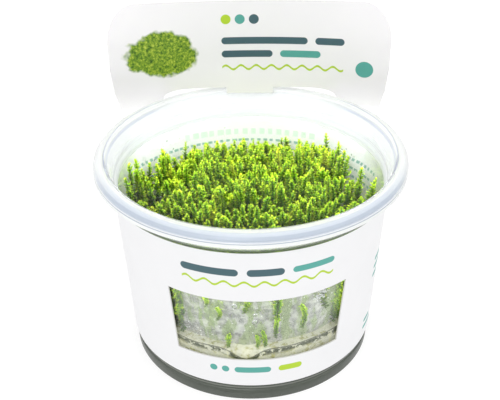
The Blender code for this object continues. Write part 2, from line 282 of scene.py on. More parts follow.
def lid_plastic():
    finish = Finish("clear lid plastic")
    place, x, y, z = where(finish)
    radius = finish.maths("SQRT", x * x + y * y)
    ring = step(radius, *RING_STARTS)
    flow = grain(place, 16 * MM, 2.0)
    wipe = grain(place, 1.6 * MM, 4.0, 0.6)
    glass = principled(finish, Base_Color=(0.985, 0.99, 0.995), Roughness=0.01 + 0.03 * wipe,
                       IOR=1.1, Transmission_Weight=1.0,
                       Normal=relief(flow, 0.1 * MM, 0.12))
    front = step(0.0 - y, *FRONT_OF_THE_LID)
    outside = step(radius, *OUTSIDE_STARTS)
    # Painted shade and reflection: a blue-grey band on the ring's outer wall, nearly all of it
    # at the front, with a deeper painted band inside it.
    shade_band = step(radius, *BAND_STARTS) * (0.04 + 0.96 * front)
    shade_band = shade_band * step(z, *BAND_RISES) * (1.0 - step(z, *BAND_FADES))
    deep_shade_band = shade_band * step(z, *DEEP_RISES) * (1.0 - step(z, *DEEP_FADES))
    # Painted shade: a thin dark line along the bead, mostly at the front.
    bead_shade_line = outside * (1.0 - step(abs(z - BEAD_HEIGHT), 0.08, 0.2))
    bead_shade_line = bead_shade_line * (0.1 + 0.9 * front)
    # Painted reflection: a thin blue line along the crest, faint at the front and gone at the
    # back.
    crest_reflection_line = 1.0 - step(abs(radius - CREST_LINE), 0.08, 0.2)
    crest_reflection_line = crest_reflection_line * (1.0 - 0.85 * front) * (1.0 - step(y, 31.0, 36.0))
    # Painted shade: a dark line round the panel's edge, for the dark edge that refraction shows
    # there, gone at the back.
    panel_edge_shade = 1.0 - step(abs(radius - PANEL_LINE), 0.10, 0.25)
    panel_edge_shade = panel_edge_shade * (1.0 - step(y, 8.0, 36.0))
    colour = finish.colours(shade_band, (0.97, 0.97, 0.97), (0.72, 0.77, 0.86))
    colour = finish.colours(deep_shade_band, colour, (0.55, 0.61, 0.71))
    colour = finish.colours(bead_shade_line, colour, (0.42, 0.48, 0.58))
    colour = finish.colours(crest_reflection_line, colour, (0.45, 0.49, 0.68))
    colour = finish.colours(panel_edge_shade, colour, (0.38, 0.39, 0.37))
    cloudy = milky(finish, colour, 0.5, 0.25)
    raised = step(z, 62.0, 64.0)
    # The milky share is raised at the front and on the painted lines, so there it is painted
    # light as well.
    share = ring * raised * (0.22 + outside * (0.46 + 0.14 * front) + 0.40 * crest_reflection_line + 0.05 * wipe)
    share = share + 0.30 * panel_edge_shade
    body = finish.mix(share, glass, cloudy)
    return finish.show(lets_lamps_through(finish, body, (0.985, 0.99, 0.995)))


lid_finish = lid_plastic()

# %% [markdown]
# The cup's wall is clear too. The foot below the sleeve is painted dark: there the eye looks
# through the thick corner of wall and floor into the shade under the cup, and a dark plastic
# stands in for that shade, with a painted light line just under the sleeve. The ledge under the
# lid is painted dark green in front, as painted shade for the moss behind it, and looks milky at
# the sides. A darker or a paler plastic, mixed in by height, gives these looks without asking
# the light to find its way.

# %% Cup finish
FOOT_HIGHLIGHT_LINE = 5.1
FOOT_LOOK_ENDS = (5.9, 6.4)
LEDGE_LOOK = (58.9, 59.5, 61.4, 62.2)
TOP_LOOK_STARTS = (61.8, 63.0)
FRONT_OF_THE_CUP = (20.0, 34.0)


def cup_plastic():
    finish = Finish("clear cup plastic")
    place, _, y, z = where(finish)
    flow = grain(place, 16 * MM, 2.0)
    wipe = grain(place, 1.6 * MM, 4.0, 0.6)
    bump = relief(flow, 0.15 * MM, 0.25)
    glass = principled(finish, Base_Color=(0.97, 0.985, 0.985), Roughness=0.02 + 0.06 * wipe,
                       IOR=1.45, Transmission_Weight=1.0, Normal=bump)
    # Painted shade: dark grey-green for the shade seen through the foot, a painted light line
    # just under the sleeve, and dark green above 40 mm for the shaded moss behind the ledge.
    painted_shade_colour = finish.colours(wipe, (0.050, 0.058, 0.047), (0.080, 0.090, 0.074))
    painted_shade_colour = finish.colours(1.0 - step(abs(z - FOOT_HIGHLIGHT_LINE), 0.15, 0.4), painted_shade_colour,
                           (0.16, 0.17, 0.15))
    painted_shade_colour = finish.colours(step(z, 40.0, 41.0), painted_shade_colour, (0.035, 0.070, 0.018))
    painted_shade_plastic = principled(finish, Base_Color=painted_shade_colour, Roughness=0.3 + 0.1 * wipe, IOR=1.3,
                       Normal=bump)
    low = (1.0 - step(z, *FOOT_LOOK_ENDS)) * (0.90 + 0.06 * flow)
    ledge = between(z, *LEDGE_LOOK)
    front = step(0.0 - y, *FRONT_OF_THE_CUP)
    # The ledge gets its painted dark green at the front only.
    low = low + ledge * front * 0.42
    body = finish.mix(low, glass, painted_shade_plastic)
    high = step(z, *TOP_LOOK_STARTS) * (0.26 + 0.1 * wipe)
    high = finish.maths("MAXIMUM", high, ledge * (1.0 - front) * 0.85)
    cloudy = milky(finish, (0.93, 0.94, 0.95), 0.5, 0.25)
    body = finish.mix(high, body, cloudy)
    return finish.show(lets_lamps_through(finish, body, (0.97, 0.985, 0.985)))


cup_finish = cup_plastic()

# %% [markdown]
# ## Turned pieces
# Cup, lid and gel are round, so each is drawn as half a section and spun round the axis. The
# spin makes 144 steps, which look round even at the rim. Then the doubled points where the
# section meets the axis are merged and the normals are made to point outwards.

# %% Spin a section, soften its corners and keep it as a piece
TURNS = 144


def as_mesh(bm, name):
    """Turns a bmesh into a mesh and frees it."""
    mesh = bpy.data.meshes.new(name)
    bm.to_mesh(mesh)
    bm.free()
    return mesh


def spun(section):
    """Spins a section of (radius, height) points into a closed skin."""
    bm = bmesh.new()
    points = [bm.verts.new((radius, 0.0, height)) for radius, height in section]
    lines = [bm.edges.new(pair) for pair in zip(points, points[1:])]
    bmesh.ops.spin(bm, geom=points + lines, cent=(0, 0, 0), axis=(0, 0, 1),
                   angle=math.tau, steps=TURNS, use_merge=True)
    bmesh.ops.remove_doubles(bm, verts=bm.verts, dist=1e-6)
    bmesh.ops.recalc_face_normals(bm, faces=bm.faces)
    return bm


def soften_rings(bm, width, sharper_than):
    """Rounds the rings of edges where the section has a corner."""
    corners = [edge for edge in bm.edges if len(edge.link_faces) == 2
               and abs(edge.verts[0].co.z - edge.verts[1].co.z) < 1e-7
               and edge.calc_face_angle() > math.radians(sharper_than)]
    bmesh.ops.bevel(bm, geom=corners, offset=width, segments=3, profile=0.5,
                    affect="EDGES", material=-1, clamp_overlap=True)


def keep(bm, name, materials, sharp=None):
    """Turns a bmesh into a piece that rides on the object."""
    mesh = as_mesh(bm, name)
    for material in materials:
        mesh.materials.append(material)
    mesh.shade_smooth()
    if sharp is not None:
        mesh.set_sharp_from_angle(angle=math.radians(sharp))
    piece = bpy.data.objects.new(name, mesh)
    scene.collection.objects.link(piece)
    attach(piece, "root")
    triangles = sum(len(face.vertices) - 2 for face in mesh.polygons)
    print(f"{name}: {triangles} triangles")
    return piece


# %% [markdown]
# ## The cup
# The wall leans outwards by about four degrees. A ledge near the top carries the lid's panel,
# and above it the wall flares to a rolled rim. Below, the floor sits a little above the table
# on a foot ring. The section runs up the inside, over the rim and down the outside.

# %% Cup
CUP_BASE_RADIUS = 39.3 * MM
CUP_TAPER = 0.0689
CUP_WALL = 0.9 * MM
LEDGE_HEIGHT = 60.0 * MM
LEDGE_RADIUS = 45.7 * MM
RIM_HEIGHT = 67.6 * MM
RIM_RADIUS = 48.8 * MM


def cup_radius(height):
    """Outer radius of the leaning wall."""
    return CUP_BASE_RADIUS + CUP_TAPER * height


def inside(height):
    """Inner radius of the leaning wall."""
    return cup_radius(height) - CUP_WALL


cup_section = [
    (0.0, 2.0 * MM),
    (inside(2 * MM) - 1.0 * MM, 2.0 * MM),
    (inside(3 * MM), 3.0 * MM),
    (inside(60.7 * MM), 60.7 * MM),
    (LEDGE_RADIUS - 0.75 * MM, 61.4 * MM),
    (LEDGE_RADIUS + 1.2 * MM, RIM_HEIGHT),
    (RIM_RADIUS - 0.4 * MM, RIM_HEIGHT),
    (RIM_RADIUS, RIM_HEIGHT - 0.5 * MM),
    (RIM_RADIUS - 0.05 * MM, RIM_HEIGHT - 1.9 * MM),
    (RIM_RADIUS - 0.75 * MM, RIM_HEIGHT - 1.9 * MM),
    (RIM_RADIUS - 0.85 * MM, RIM_HEIGHT - 0.8 * MM),
    (LEDGE_RADIUS + 1.9 * MM, RIM_HEIGHT - 0.8 * MM),
    (LEDGE_RADIUS, LEDGE_HEIGHT + 0.7 * MM),
    (cup_radius(LEDGE_HEIGHT), LEDGE_HEIGHT),
    (cup_radius(5.6 * MM), 5.6 * MM),
    (cup_radius(5.3 * MM) + 0.12 * MM, 5.3 * MM),
    (cup_radius(4.3 * MM), 4.3 * MM),
    (cup_radius(4.0 * MM) + 0.4 * MM, 4.0 * MM),
    (cup_radius(0.4 * MM) + 0.4 * MM, 0.4 * MM),
    (39.4 * MM, 0.0),
    (34.6 * MM, 0.0),
    (34.1 * MM, 0.8 * MM),
    (0.0, 0.8 * MM),
]
cup_skin = spun(cup_section)
soften_rings(cup_skin, 0.16 * MM, 22)
cup = keep(cup_skin, "cup_shell", [cup_finish], sharp=50)
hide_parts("cup")

# %% [markdown]
# ## The lid
# The lid's flat panel is sunk inside a raised ring, so that another cup can stand on it. The
# ring's crest is the highest line, and a skirt with a small bead presses over the cup's rim.

# %% Lid
LID_RADIUS = 49.8 * MM
CREST_RADIUS = 46.3 * MM
CREST_HEIGHT = 69.55 * MM
PANEL_RADIUS = 43.84 * MM
PANEL_TOP = 61.95 * MM
PANEL_UNDERSIDE = PANEL_TOP - 0.65 * MM

lid_section = [
    (0.0, PANEL_TOP),
    (PANEL_RADIUS - 0.5 * MM, PANEL_TOP),
    (PANEL_RADIUS, PANEL_TOP + 0.3 * MM),
    (CREST_RADIUS - 0.65 * MM, CREST_HEIGHT - 0.55 * MM),
    (CREST_RADIUS, CREST_HEIGHT),
    (CREST_RADIUS + 0.8 * MM, CREST_HEIGHT - 0.55 * MM),
    (CREST_RADIUS + 2.1 * MM, CREST_HEIGHT - 0.75 * MM),
    (LID_RADIUS - 0.8 * MM, CREST_HEIGHT - 1.15 * MM),
    (LID_RADIUS - 0.15 * MM, CREST_HEIGHT - 2.0 * MM),
    (LID_RADIUS - 0.35 * MM, CREST_HEIGHT - 2.6 * MM),
    (LID_RADIUS, CREST_HEIGHT - 3.0 * MM),
    (LID_RADIUS, 65.1 * MM),
    (LID_RADIUS - 0.6 * MM, 65.1 * MM),
    (LID_RADIUS - 0.7 * MM, CREST_HEIGHT - 1.95 * MM),
    (LID_RADIUS - 1.2 * MM, CREST_HEIGHT - 1.5 * MM),
    (CREST_RADIUS + 0.5 * MM, CREST_HEIGHT - 1.4 * MM),
    (PANEL_RADIUS + 0.65 * MM, PANEL_UNDERSIDE + 0.2 * MM),
    (PANEL_RADIUS + 0.2 * MM, PANEL_UNDERSIDE),
    (0.0, PANEL_UNDERSIDE),
]
lid_skin = spun(lid_section)
soften_rings(lid_skin, 0.16 * MM, 16)
lid = keep(lid_skin, "lid_shell", [lid_finish], sharp=50)
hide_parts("lid")

# %% [markdown]
# ## The card sleeve
# One printed blank of white card wraps round the cup. At the back it opens out, passes outside
# the lid through a slot and stands as a gently curved header. A grid of faces is the flat
# blank: its columns go round the cup, its rows go up, and each point is moved to its place on
# the cup. Then the faces of the window and the slot are taken out and the card gets its
# thickness.

# %% Where the card lies
CARD = 0.45 * MM
WRAP_TOP = 59.6 * MM
WINDOW_BOTTOM = 17.6 * MM
WINDOW_TOP = 41.6 * MM
WINDOW_TURN = math.radians(2.8)
WINDOW_HALF_ANGLE = math.radians(38.1)
WINDOW_SPLAY = math.radians(0.9)
FLARE_START = 50.0 * MM
NOTCH_BOTTOM = 57.0 * MM
HEADER_TOP = 101.9 * MM
HEADER_HALF_MM = 48.4
CORNER_MM = 10.0
CORNER_DROP = 12.5 * MM
SLOT_TOP = 70.7 * MM
SLOT_DROP = 3.4 * MM
TAB_BOTTOM = 68.4 * MM

# Height, curvature in 1/mm, distance behind the axis and half width of the card's back, in mm
BACK_STATIONS = [
    (54.0, 0.0208, 43.6, 46.9),
    (57.0, 0.0189, 43.9, 47.0),
    (59.6, 0.0162, 44.1, 46.6),
    (62.0, 0.0112, 43.9, 45.6),
    (64.7, 0.0057, 43.3, 45.7),
    (68.4, 0.0046, 43.0, 46.5),
    (70.7, 0.0046, 43.0, 47.3),
    (80.0, 0.0056, 43.2, 48.3),
    (90.0, 0.0052, 43.6, 48.4),
    (104.0, 0.0030, 44.4, 48.4),
]


def card_radius(height):
    """Radius of the middle of the card where it lies on the cup."""
    return cup_radius(height) + 0.3 * MM + CARD / 2


def back_station(height):
    """Curvature, distance behind the axis and half width at this height."""
    start = card_radius(FLARE_START) / MM
    rows = [(50.0, 1.0 / start, start, 47.0)] + BACK_STATIONS
    mm = min(max(height / MM, 50.0), 104.0)
    for low, high in zip(rows, rows[1:]):
        if mm <= high[0]:
            break
    t = (mm - low[0]) / (high[0] - low[0])
    curvature, behind, half = [a + (b - a) * t for a, b in zip(low[1:], high[1:])]
    return curvature / MM, behind * MM, half * MM


def header_point(fraction, height):
    """A point of the card's back; fraction runs from -1 to 1 across it."""
    curvature, behind, half = back_station(height)
    turn = fraction * half * curvature
    return Vector((math.sin(turn) / curvature,
                   behind - (1.0 - math.cos(turn)) / curvature, height))


def wrap_point(angle, height):
    """A point of the round wrap; angle 0 is the back and pi the front."""
    radius = card_radius(height)
    return Vector((radius * math.sin(angle), radius * math.cos(angle), height))


# %% [markdown]
# The blank's columns have to land on the edges of the slot, the tab and the window. So they
# are listed as runs between those edges, a few evenly spaced columns in each run, and closer
# together towards the header's rounded corners.

# %% The columns and rows of the blank
SLOT_HALF = 32.0 / HEADER_HALF_MM
NOTCH_INNER = 27.4 / HEADER_HALF_MM
SHOULDER = 22.0 / HEADER_HALF_MM
TAB_HALF = 8.45 / HEADER_HALF_MM
SIDE_COLUMNS = 26
WINDOW_COLUMNS = 34


def run(start, end, count):
    return [start + (end - start) * i / count for i in range(count)]


half_columns = (run(0.0, TAB_HALF, 4) + run(TAB_HALF, SHOULDER, 5)
                + run(SHOULDER, NOTCH_INNER, 6) + run(NOTCH_INNER, SLOT_HALF, 5)
                + run(SLOT_HALF, 0.78, 3)
                + [0.78 + 0.22 * math.sin(i / 12 * math.pi / 2) for i in range(13)])
back_columns = [-f for f in reversed(half_columns[1:])] + half_columns
wrap_rows = [h * MM for h in (6.7, 9.5, 12.5, 15.0, 17.6, 21.6, 25.6, 29.6, 33.6, 37.6, 41.6,
                              44.5, 47.5, 50.0, 52.0, 54.0, 55.5, 57.0, 58.3, 59.6)]
print(len(back_columns), "columns across the back,", len(wrap_rows), "rows up the wrap")


def window_edge(height, side):
    """Angle of the window's edge, from the back, on the side -1 or 1."""
    middle = (WINDOW_BOTTOM + WINDOW_TOP) / 2
    splay = WINDOW_SPLAY * (height - middle) / (WINDOW_TOP - middle)
    splay = max(-WINDOW_SPLAY, min(WINDOW_SPLAY, splay))
    return side * (math.pi - WINDOW_HALF_ANGLE - splay) - WINDOW_TURN


def ring_row(height):
    """Every point of the wrap at this height: back, right side, window and left side."""
    half_angle = back_station(WRAP_TOP)[2] / card_radius(WRAP_TOP)
    flared = height > FLARE_START
    row = [header_point(f, height) if flared else wrap_point(f * half_angle, height)
           for f in back_columns]
    sides = {}
    for side in (1, -1):
        edge = window_edge(height, side)
        lifted = header_point(side, height) if flared else wrap_point(side * half_angle, height)
        pull = lifted - wrap_point(side * half_angle, height)
        sides[side] = []
        for i in range(1, SIDE_COLUMNS + 1):
            t = i / SIDE_COLUMNS
            angle = side * half_angle + (edge - side * half_angle) * t
            sides[side].append(wrap_point(angle, height) + pull * max(0.0, 1 - t / 0.5) ** 2)
    start = window_edge(height, 1)
    end = math.tau + window_edge(height, -1)
    front = [wrap_point(start + (end - start) * i / WINDOW_COLUMNS, height)
             for i in range(1, WINDOW_COLUMNS)]
    return row + sides[1] + front + sides[-1][::-1]


def slot_top(fraction):
    """Height of the slot's upper edge, which turns down at both ends."""
    t = (abs(fraction) - SHOULDER) / (SLOT_HALF - SHOULDER)
    t = min(1.0, max(0.0, t))
    return SLOT_TOP - SLOT_DROP * (1.0 - math.sqrt(1.0 - t * t))


def header_edge(fraction):
    """Height of the header's upper edge, with its rounded corners."""
    t = (abs(fraction) * HEADER_HALF_MM - (HEADER_HALF_MM - CORNER_MM)) / CORNER_MM
    t = min(1.0, max(0.0, t))
    return HEADER_TOP - CORNER_DROP * (1.0 - math.sqrt(1.0 - t * t))


# %% [markdown]
# Two grids make the blank, one for the wrap and one for the header above it. The header's
# first row lies on the wrap's last one, and merging doubled points joins them.

# %% Move the blank to its place and cut the openings
def placed_grid(rows):
    """A grid of faces whose points are moved to the given rows of points."""
    bm = bmesh.new()
    across = len(rows[0]) - 1
    up = len(rows) - 1
    bmesh.ops.create_grid(bm, x_segments=across, y_segments=up, size=0.5)
    for point in bm.verts:
        i = round((point.co.x + 0.5) * across)
        j = round((point.co.y + 0.5) * up)
        point.co = rows[j][i]
    return bm


def middle_of(face):
    return face.calc_center_median()


ring = [ring_row(height) for height in wrap_rows]
wrap = placed_grid([row + row[:1] for row in ring])


def in_window(face):
    place = middle_of(face)
    if not WINDOW_BOTTOM < place.z < WINDOW_TOP or place.y > 0:
        return False
    angle = math.atan2(place.x, place.y) % math.tau
    return window_edge(place.z, 1) < angle < math.tau + window_edge(place.z, -1)


def share_across(place):
    """How far out a point of the card's back lies: 0 in the middle, 1 at the edge."""
    curvature, _, half = back_station(place.z)
    return abs(math.asin(min(1.0, max(-1.0, place.x * curvature)))) / curvature / half


def in_notch(face):
    place = middle_of(face)
    inside_slot = NOTCH_INNER < share_across(place) < SLOT_HALF
    return place.y > 0 and place.z > NOTCH_BOTTOM and inside_slot


cut = [face for face in wrap.faces if in_window(face) or in_notch(face)]
bmesh.ops.delete(wrap, geom=cut, context="FACES")
print("cut", len(cut), "faces out of the wrap")

# %% The header, joined on
header_rows = [[header_point(f, height * MM) for f in back_columns]
               for height in (59.6, 60.8, 62.0, 63.3, 64.7, 66.0)]
header_rows.append([header_point(f, min(TAB_BOTTOM, slot_top(f) - 0.4 * MM))
                    for f in back_columns])
for t in [i / 12 for i in range(13)]:
    header_rows.append([header_point(f, slot_top(f) + (header_edge(f) - slot_top(f)) * t)
                        for f in back_columns])
header = placed_grid(header_rows)
slot_faces = []
for face in header.faces:
    place = middle_of(face)
    across = share_across(place)
    below = place.z < slot_top(across) - 0.01 * MM
    if below and across < SLOT_HALF and not (across < TAB_HALF and place.z > TAB_BOTTOM):
        slot_faces.append(face)
bmesh.ops.delete(header, geom=slot_faces, context="FACES")
wrap.from_mesh(as_mesh(header, "header blank"))
bmesh.ops.remove_doubles(wrap, verts=wrap.verts, dist=0.02 * MM)
bmesh.ops.recalc_face_normals(wrap, faces=wrap.faces)
print("the blank has", len(wrap.faces), "faces")

# %% [markdown]
# ## What is printed on the card
# Print is a thin layer of colour, so it belongs in the card's material. Each mark is a shape
# in flat card coordinates: across in millimetres and up in millimetres. On the round wrap,
# across is the angle times the radius. The marks are plain bars, dots and ripples of our own.

# %% Shapes for the print
SLATE = (0.055, 0.115, 0.135)
TEAL = (0.09, 0.36, 0.31)
LIME = (0.42, 0.60, 0.03)
PALE_LIME = (0.68, 0.84, 0.71)


def bar(u, v, left, right, height, thick):
    """A bar with round ends."""
    reach = (right - left - thick) / 2
    along = u.finish.maths("MAXIMUM", abs(u - (left + right) / 2) - reach, 0.0)
    away = u.finish.maths("SQRT", along * along + (v - height) * (v - height))
    return 1.0 - step(away, thick / 2 - 0.06, thick / 2 + 0.06)


def dot(u, v, across, height, radius):
    away = u.finish.maths("SQRT", (u - across) * (u - across) + (v - height) * (v - height))
    return 1.0 - step(away, radius - 0.06, radius + 0.06)


def ripple(u, v, left, right, height, thick, swing, period):
    """A wavy line with square ends."""
    wave = u.finish.maths("SINE", (u - left) * (math.tau / period)) * swing
    line = 1.0 - step(abs(v - height - wave), thick / 2 - 0.06, thick / 2 + 0.06)
    ends = between(u, left, left + 0.2, right - 0.2, right)
    return line * ends


def dashes(u, v, left, right, height, thick, period):
    """A row of dashes of uneven length, as fine print looks from afar."""
    finish = u.finish
    cell = finish.maths("FLOOR", u / period)
    inputs = {"W": cell + height * 7.3}
    chance = finish.node("ShaderNodeTexWhiteNoise", {"noise_dimensions": "1D"}, inputs)
    part = finish.maths("FRACT", u / period)
    dash = between(part, 0.08, 0.14, 0.55 + 0.3 * chance, 0.62 + 0.3 * chance)
    line = 1.0 - step(abs(v - height), thick / 2 - 0.08, thick / 2 + 0.08)
    ends = between(u, left, left + 0.2, right - 0.2, right)
    return line * ends * dash


def bars(u, v, rows):
    """A mark for every (left, right, height, thickness, ink)."""
    return [(bar(u, v, *row[:4]), row[4]) for row in rows]


def inked(finish, paper, marks):
    """Lays each (mask, ink) over the paper in turn."""
    for mask, ink in marks:
        paper = finish.colours(mask, paper, ink)
    return paper


# %% [markdown]
# The card itself is smooth coated board: nearly white, a little uneven in tone, with a faint
# satin shine. Its cut edges are greyer and rough, because the fibres show there.

# %% Card finishes
def card_shader(finish, place, colour):
    cloud = grain(place, 9 * MM, 3.0)
    fibre = grain(place, 0.35 * MM, 4.0, 0.7)
    tone = finish.maths("MULTIPLY_ADD", cloud, 0.04, 0.97)
    tinted = finish.colours(1.0, colour, finish.node("ShaderNodeCombineColor", None,
                            {0: tone, 1: tone, 2: tone}), "MULTIPLY")
    bump = relief(fibre + 0.4 * cloud, 0.03 * MM, 0.4)
    return finish.show(principled(finish, Base_Color=tinted, Roughness=0.42 + 0.12 * fibre,
                                  Specular_IOR_Level=0.35, Normal=bump))


# A row that is straight on the flat blank bows upwards at both ends on the leaning wall
FLAT_BLANK_BOW = CUP_TAPER / (2 * 43.5)


def outer_card():
    """The side of the card that faces away from the cup."""
    finish = Finish("printed card outside")
    place, x, y, z = where(finish)
    u = finish.maths("ARCTAN2", x, 0.0 - y) * 43.0
    b = finish.maths("ARCTAN2", 0.0 - x, y) * 43.0
    marks = bars(u, z, [
        (-21.5, -4.0, 52.4, 2.6, SLATE), (-1.5, 9.5, 52.4, 2.6, SLATE),
        (12.0, 25.5, 52.4, 2.2, TEAL), (-6.0, 6.0, 13.4, 2.3, TEAL),
        (8.5, 16.5, 13.4, 2.3, LIME), (50.5, 57.0, 38.0, 1.6, TEAL),
        (50.5, 60.0, 34.6, 1.6, TEAL), (50.5, 55.5, 31.2, 1.6, TEAL),
        (47.5, 53.0, 14.4, 1.4, TEAL), (47.5, 56.0, 11.4, 1.4, TEAL)])
    marks += bars(b, z, [(-24.0, 24.0, 56.0, 2.4, LIME)])
    marks.append((ripple(u, z, -21.5, 25.5, 48.2, 0.8, 0.8, 5.9), LIME))
    marks += [(dot(u, z, across, 13.4, 1.25), TEAL) for across in (-13.0, -9.0)]
    for k in range(7):
        row = dashes(b, z, -26.0, 26.0 - 3.0 * (k % 3), 47.0 - 3.2 * k, 1.1, 3.6)
        marks.append((row, TEAL))
    return card_shader(finish, place, inked(finish, (0.78, 0.78, 0.79), marks))


def inner_card():
    """The side that faces the cup, and the front of the header."""
    finish = Finish("printed card inside")
    place, x, y, z = where(finish)
    b = finish.maths("ARCTAN2", x, y) * 43.5
    v = z - b * b * FLAT_BLANK_BOW
    flecks = grain(place, 0.9 * MM, 4.0, 0.75)
    clumps = grain(place, 4.5 * MM, 2.0, 0.6)
    dx = (x + 30.0) / 14.0
    dz = (z - 84.0) / 9.0
    away = finish.maths("SQRT", dx * dx + dz * dz) + (clumps - 0.5) * 0.55
    patch = 1.0 - step(away, 0.78, 0.95)
    stops = [(0.3, (0.02, 0.05, 0.008)), (0.45, (0.10, 0.22, 0.015)),
             (0.58, (0.30, 0.42, 0.03)), (0.7, (0.62, 0.66, 0.12))]
    leafy = finish.ramp(flecks, stops)
    # Painted light and shade on one paper: the inside of the wrap is painted lighter than the
    # header, and the header is painted darker low in its middle, round the tab.
    off_the_tab = step(abs(x), 20.0, 34.0) * 0.75
    above_painted_shade = finish.maths("MAXIMUM", step(z, 68.0, 80.0), off_the_tab)
    header = finish.colours(above_painted_shade, (0.735, 0.725, 0.71), (0.84, 0.825, 0.845))
    paper = finish.colours(step(z, 58.0, 62.0), (0.95, 0.93, 0.94), header)
    marks = [(dashes(b, v, -24.5, 24.5, 52.9, 2.1, 3.1) * 0.8, PALE_LIME)]
    for left, right, height, period in ((-48.0, 57.0, 49.6, 2.3), (-44.0, 60.0, 46.6, 2.9),
                                        (-46.0, 56.0, 43.6, 2.5)):
        marks.append((dashes(b, v, left, right, height, 0.9, period) * 0.72, TEAL))
    marks.append((patch, leafy))
    for across, height, radius, ink in ((-8.0, 95.6, 1.7, LIME), (-3.2, 95.6, 1.7, TEAL),
                                        (1.6, 95.6, 1.7, SLATE), (39.5, 78.6, 3.0, TEAL)):
        marks.append((dot(x, z, across, height, radius), ink))
    marks += bars(x, z, [
        (-9.6, 20.0, 88.0, 2.5, SLATE), (22.6, 32.5, 88.0, 2.5, SLATE),
        (-9.6, 8.0, 83.2, 2.5, SLATE), (10.6, 24.5, 83.2, 2.5, TEAL)])
    marks.append((ripple(x, z, -9.6, 32.5, 78.2, 0.8, 0.75, 5.3), LIME))
    return card_shader(finish, place, inked(finish, paper, marks))


def cut_card():
    """The cut edge of the card."""
    finish = Finish("cut card edge")
    place = where(finish)[0]
    fibre = grain(place, 0.2 * MM, 4.0, 0.7)
    colour = finish.colours(fibre, (0.58, 0.57, 0.55), (0.80, 0.79, 0.77))
    return card_shader(finish, place, colour)


# %% Give the card its thickness
card_mesh = as_mesh(wrap, "card blank")
for material in (outer_card(), inner_card(), cut_card()):
    card_mesh.materials.append(material)
blank = bpy.data.objects.new("card blank", card_mesh)
scene.collection.objects.link(blank)
thick = blank.modifiers.new("Card thickness", "SOLIDIFY")
thick.thickness = CARD
thick.offset = 0.0
thick.use_even_offset = True
thick.material_offset = 1
thick.material_offset_rim = 2
shaped = bpy.data.meshes.new_from_object(
    blank.evaluated_get(bpy.context.evaluated_depsgraph_get()))
bpy.data.objects.remove(blank)
card_skin = bmesh.new()
card_skin.from_mesh(shaped)
outwards = sum(face.normal.dot(Vector((face.calc_center_median().x,
                                       face.calc_center_median().y, 0.0)))
               for face in card_skin.faces if face.material_index == 0)
print("outer faces look outwards:", outwards > 0)
sleeve = keep(card_skin, "printed_sleeve", list(shaped.materials), sharp=35)
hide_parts("card_sleeve")

# %% [markdown]
# ## The gel
# The moss stands in a clear, slightly yellow gel. Where it was poured it clings to the wall,
# so its edge rises and dips in a wavy line. The body is a spun section with many rings on its
# top, and a small formula then moves the points of the top.

# %% Gel
GEL_LEVEL = 21.6 * MM
GEL_GAP = 0.12 * MM
STRETCHED_FROM = 8.0 * MM
TOP_FROM = 21.0 * MM
CLINGS_WITHIN = 1.6 * MM
SWELL_MM = 0.8
SWELLS_PER_METRE = 160.0


def cling(angle_from_front):
    """How much higher than its level the gel stands at the wall, in millimetres."""
    degrees = math.degrees(angle_from_front)
    dip = -3.9 * math.exp(-((degrees + 3.0) / 6.5) ** 2)
    sag = -0.5 * math.exp(-((degrees + 5.0) / 22.0) ** 2)
    hump = 0.7 * math.exp(-((degrees - 42.0) / 12.0) ** 2)
    return 0.2 + dip + sag + hump + 0.15 * math.sin(math.radians(degrees) * 17.0)


gel_section = [(0.0, 2.2 * MM), (inside(2.2 * MM) - 1.3 * MM, 2.2 * MM)]
gel_section += [(inside(h * MM) - GEL_GAP, h * MM) for h in (3.3, 8.0, 13.0, 17.0, 19.5)]
gel_section += [(inside(GEL_LEVEL) - GEL_GAP, GEL_LEVEL)]
gel_section += [(inside(GEL_LEVEL) - d * MM, GEL_LEVEL) for d in (0.3, 0.6, 1.0, 1.6, 2.4, 4.0)]
gel_section += [(r * MM, GEL_LEVEL) for r in (32.0, 26.0, 19.0, 12.0, 6.0)]
gel_section += [(0.0, GEL_LEVEL)]
gel_skin = spun(gel_section)
depth_layer = gel_skin.verts.layers.float.new("depth")
for point in gel_skin.verts:
    radius = math.hypot(point.co.x, point.co.y)
    rise = cling(math.atan2(point.co.x, -point.co.y)) * MM
    at_wall = radius > inside(point.co.z) - 0.2 * MM
    if at_wall and point.co.z > STRETCHED_FROM:
        part = (point.co.z - STRETCHED_FROM) / (GEL_LEVEL - STRETCHED_FROM)
        point.co.z += rise * part
        scale = (inside(point.co.z) - GEL_GAP) / radius
        point.co.x *= scale
        point.co.y *= scale
    elif point.co.z > TOP_FROM:
        near = math.exp(-(inside(GEL_LEVEL) - radius) / CLINGS_WITHIN)
        swell = noise.noise(point.co * SWELLS_PER_METRE) * SWELL_MM * MM
        point.co.z += rise * near + swell * (1.0 - near)
    point[depth_layer] = (GEL_LEVEL + rise - point.co.z) / MM if at_wall else 0.0


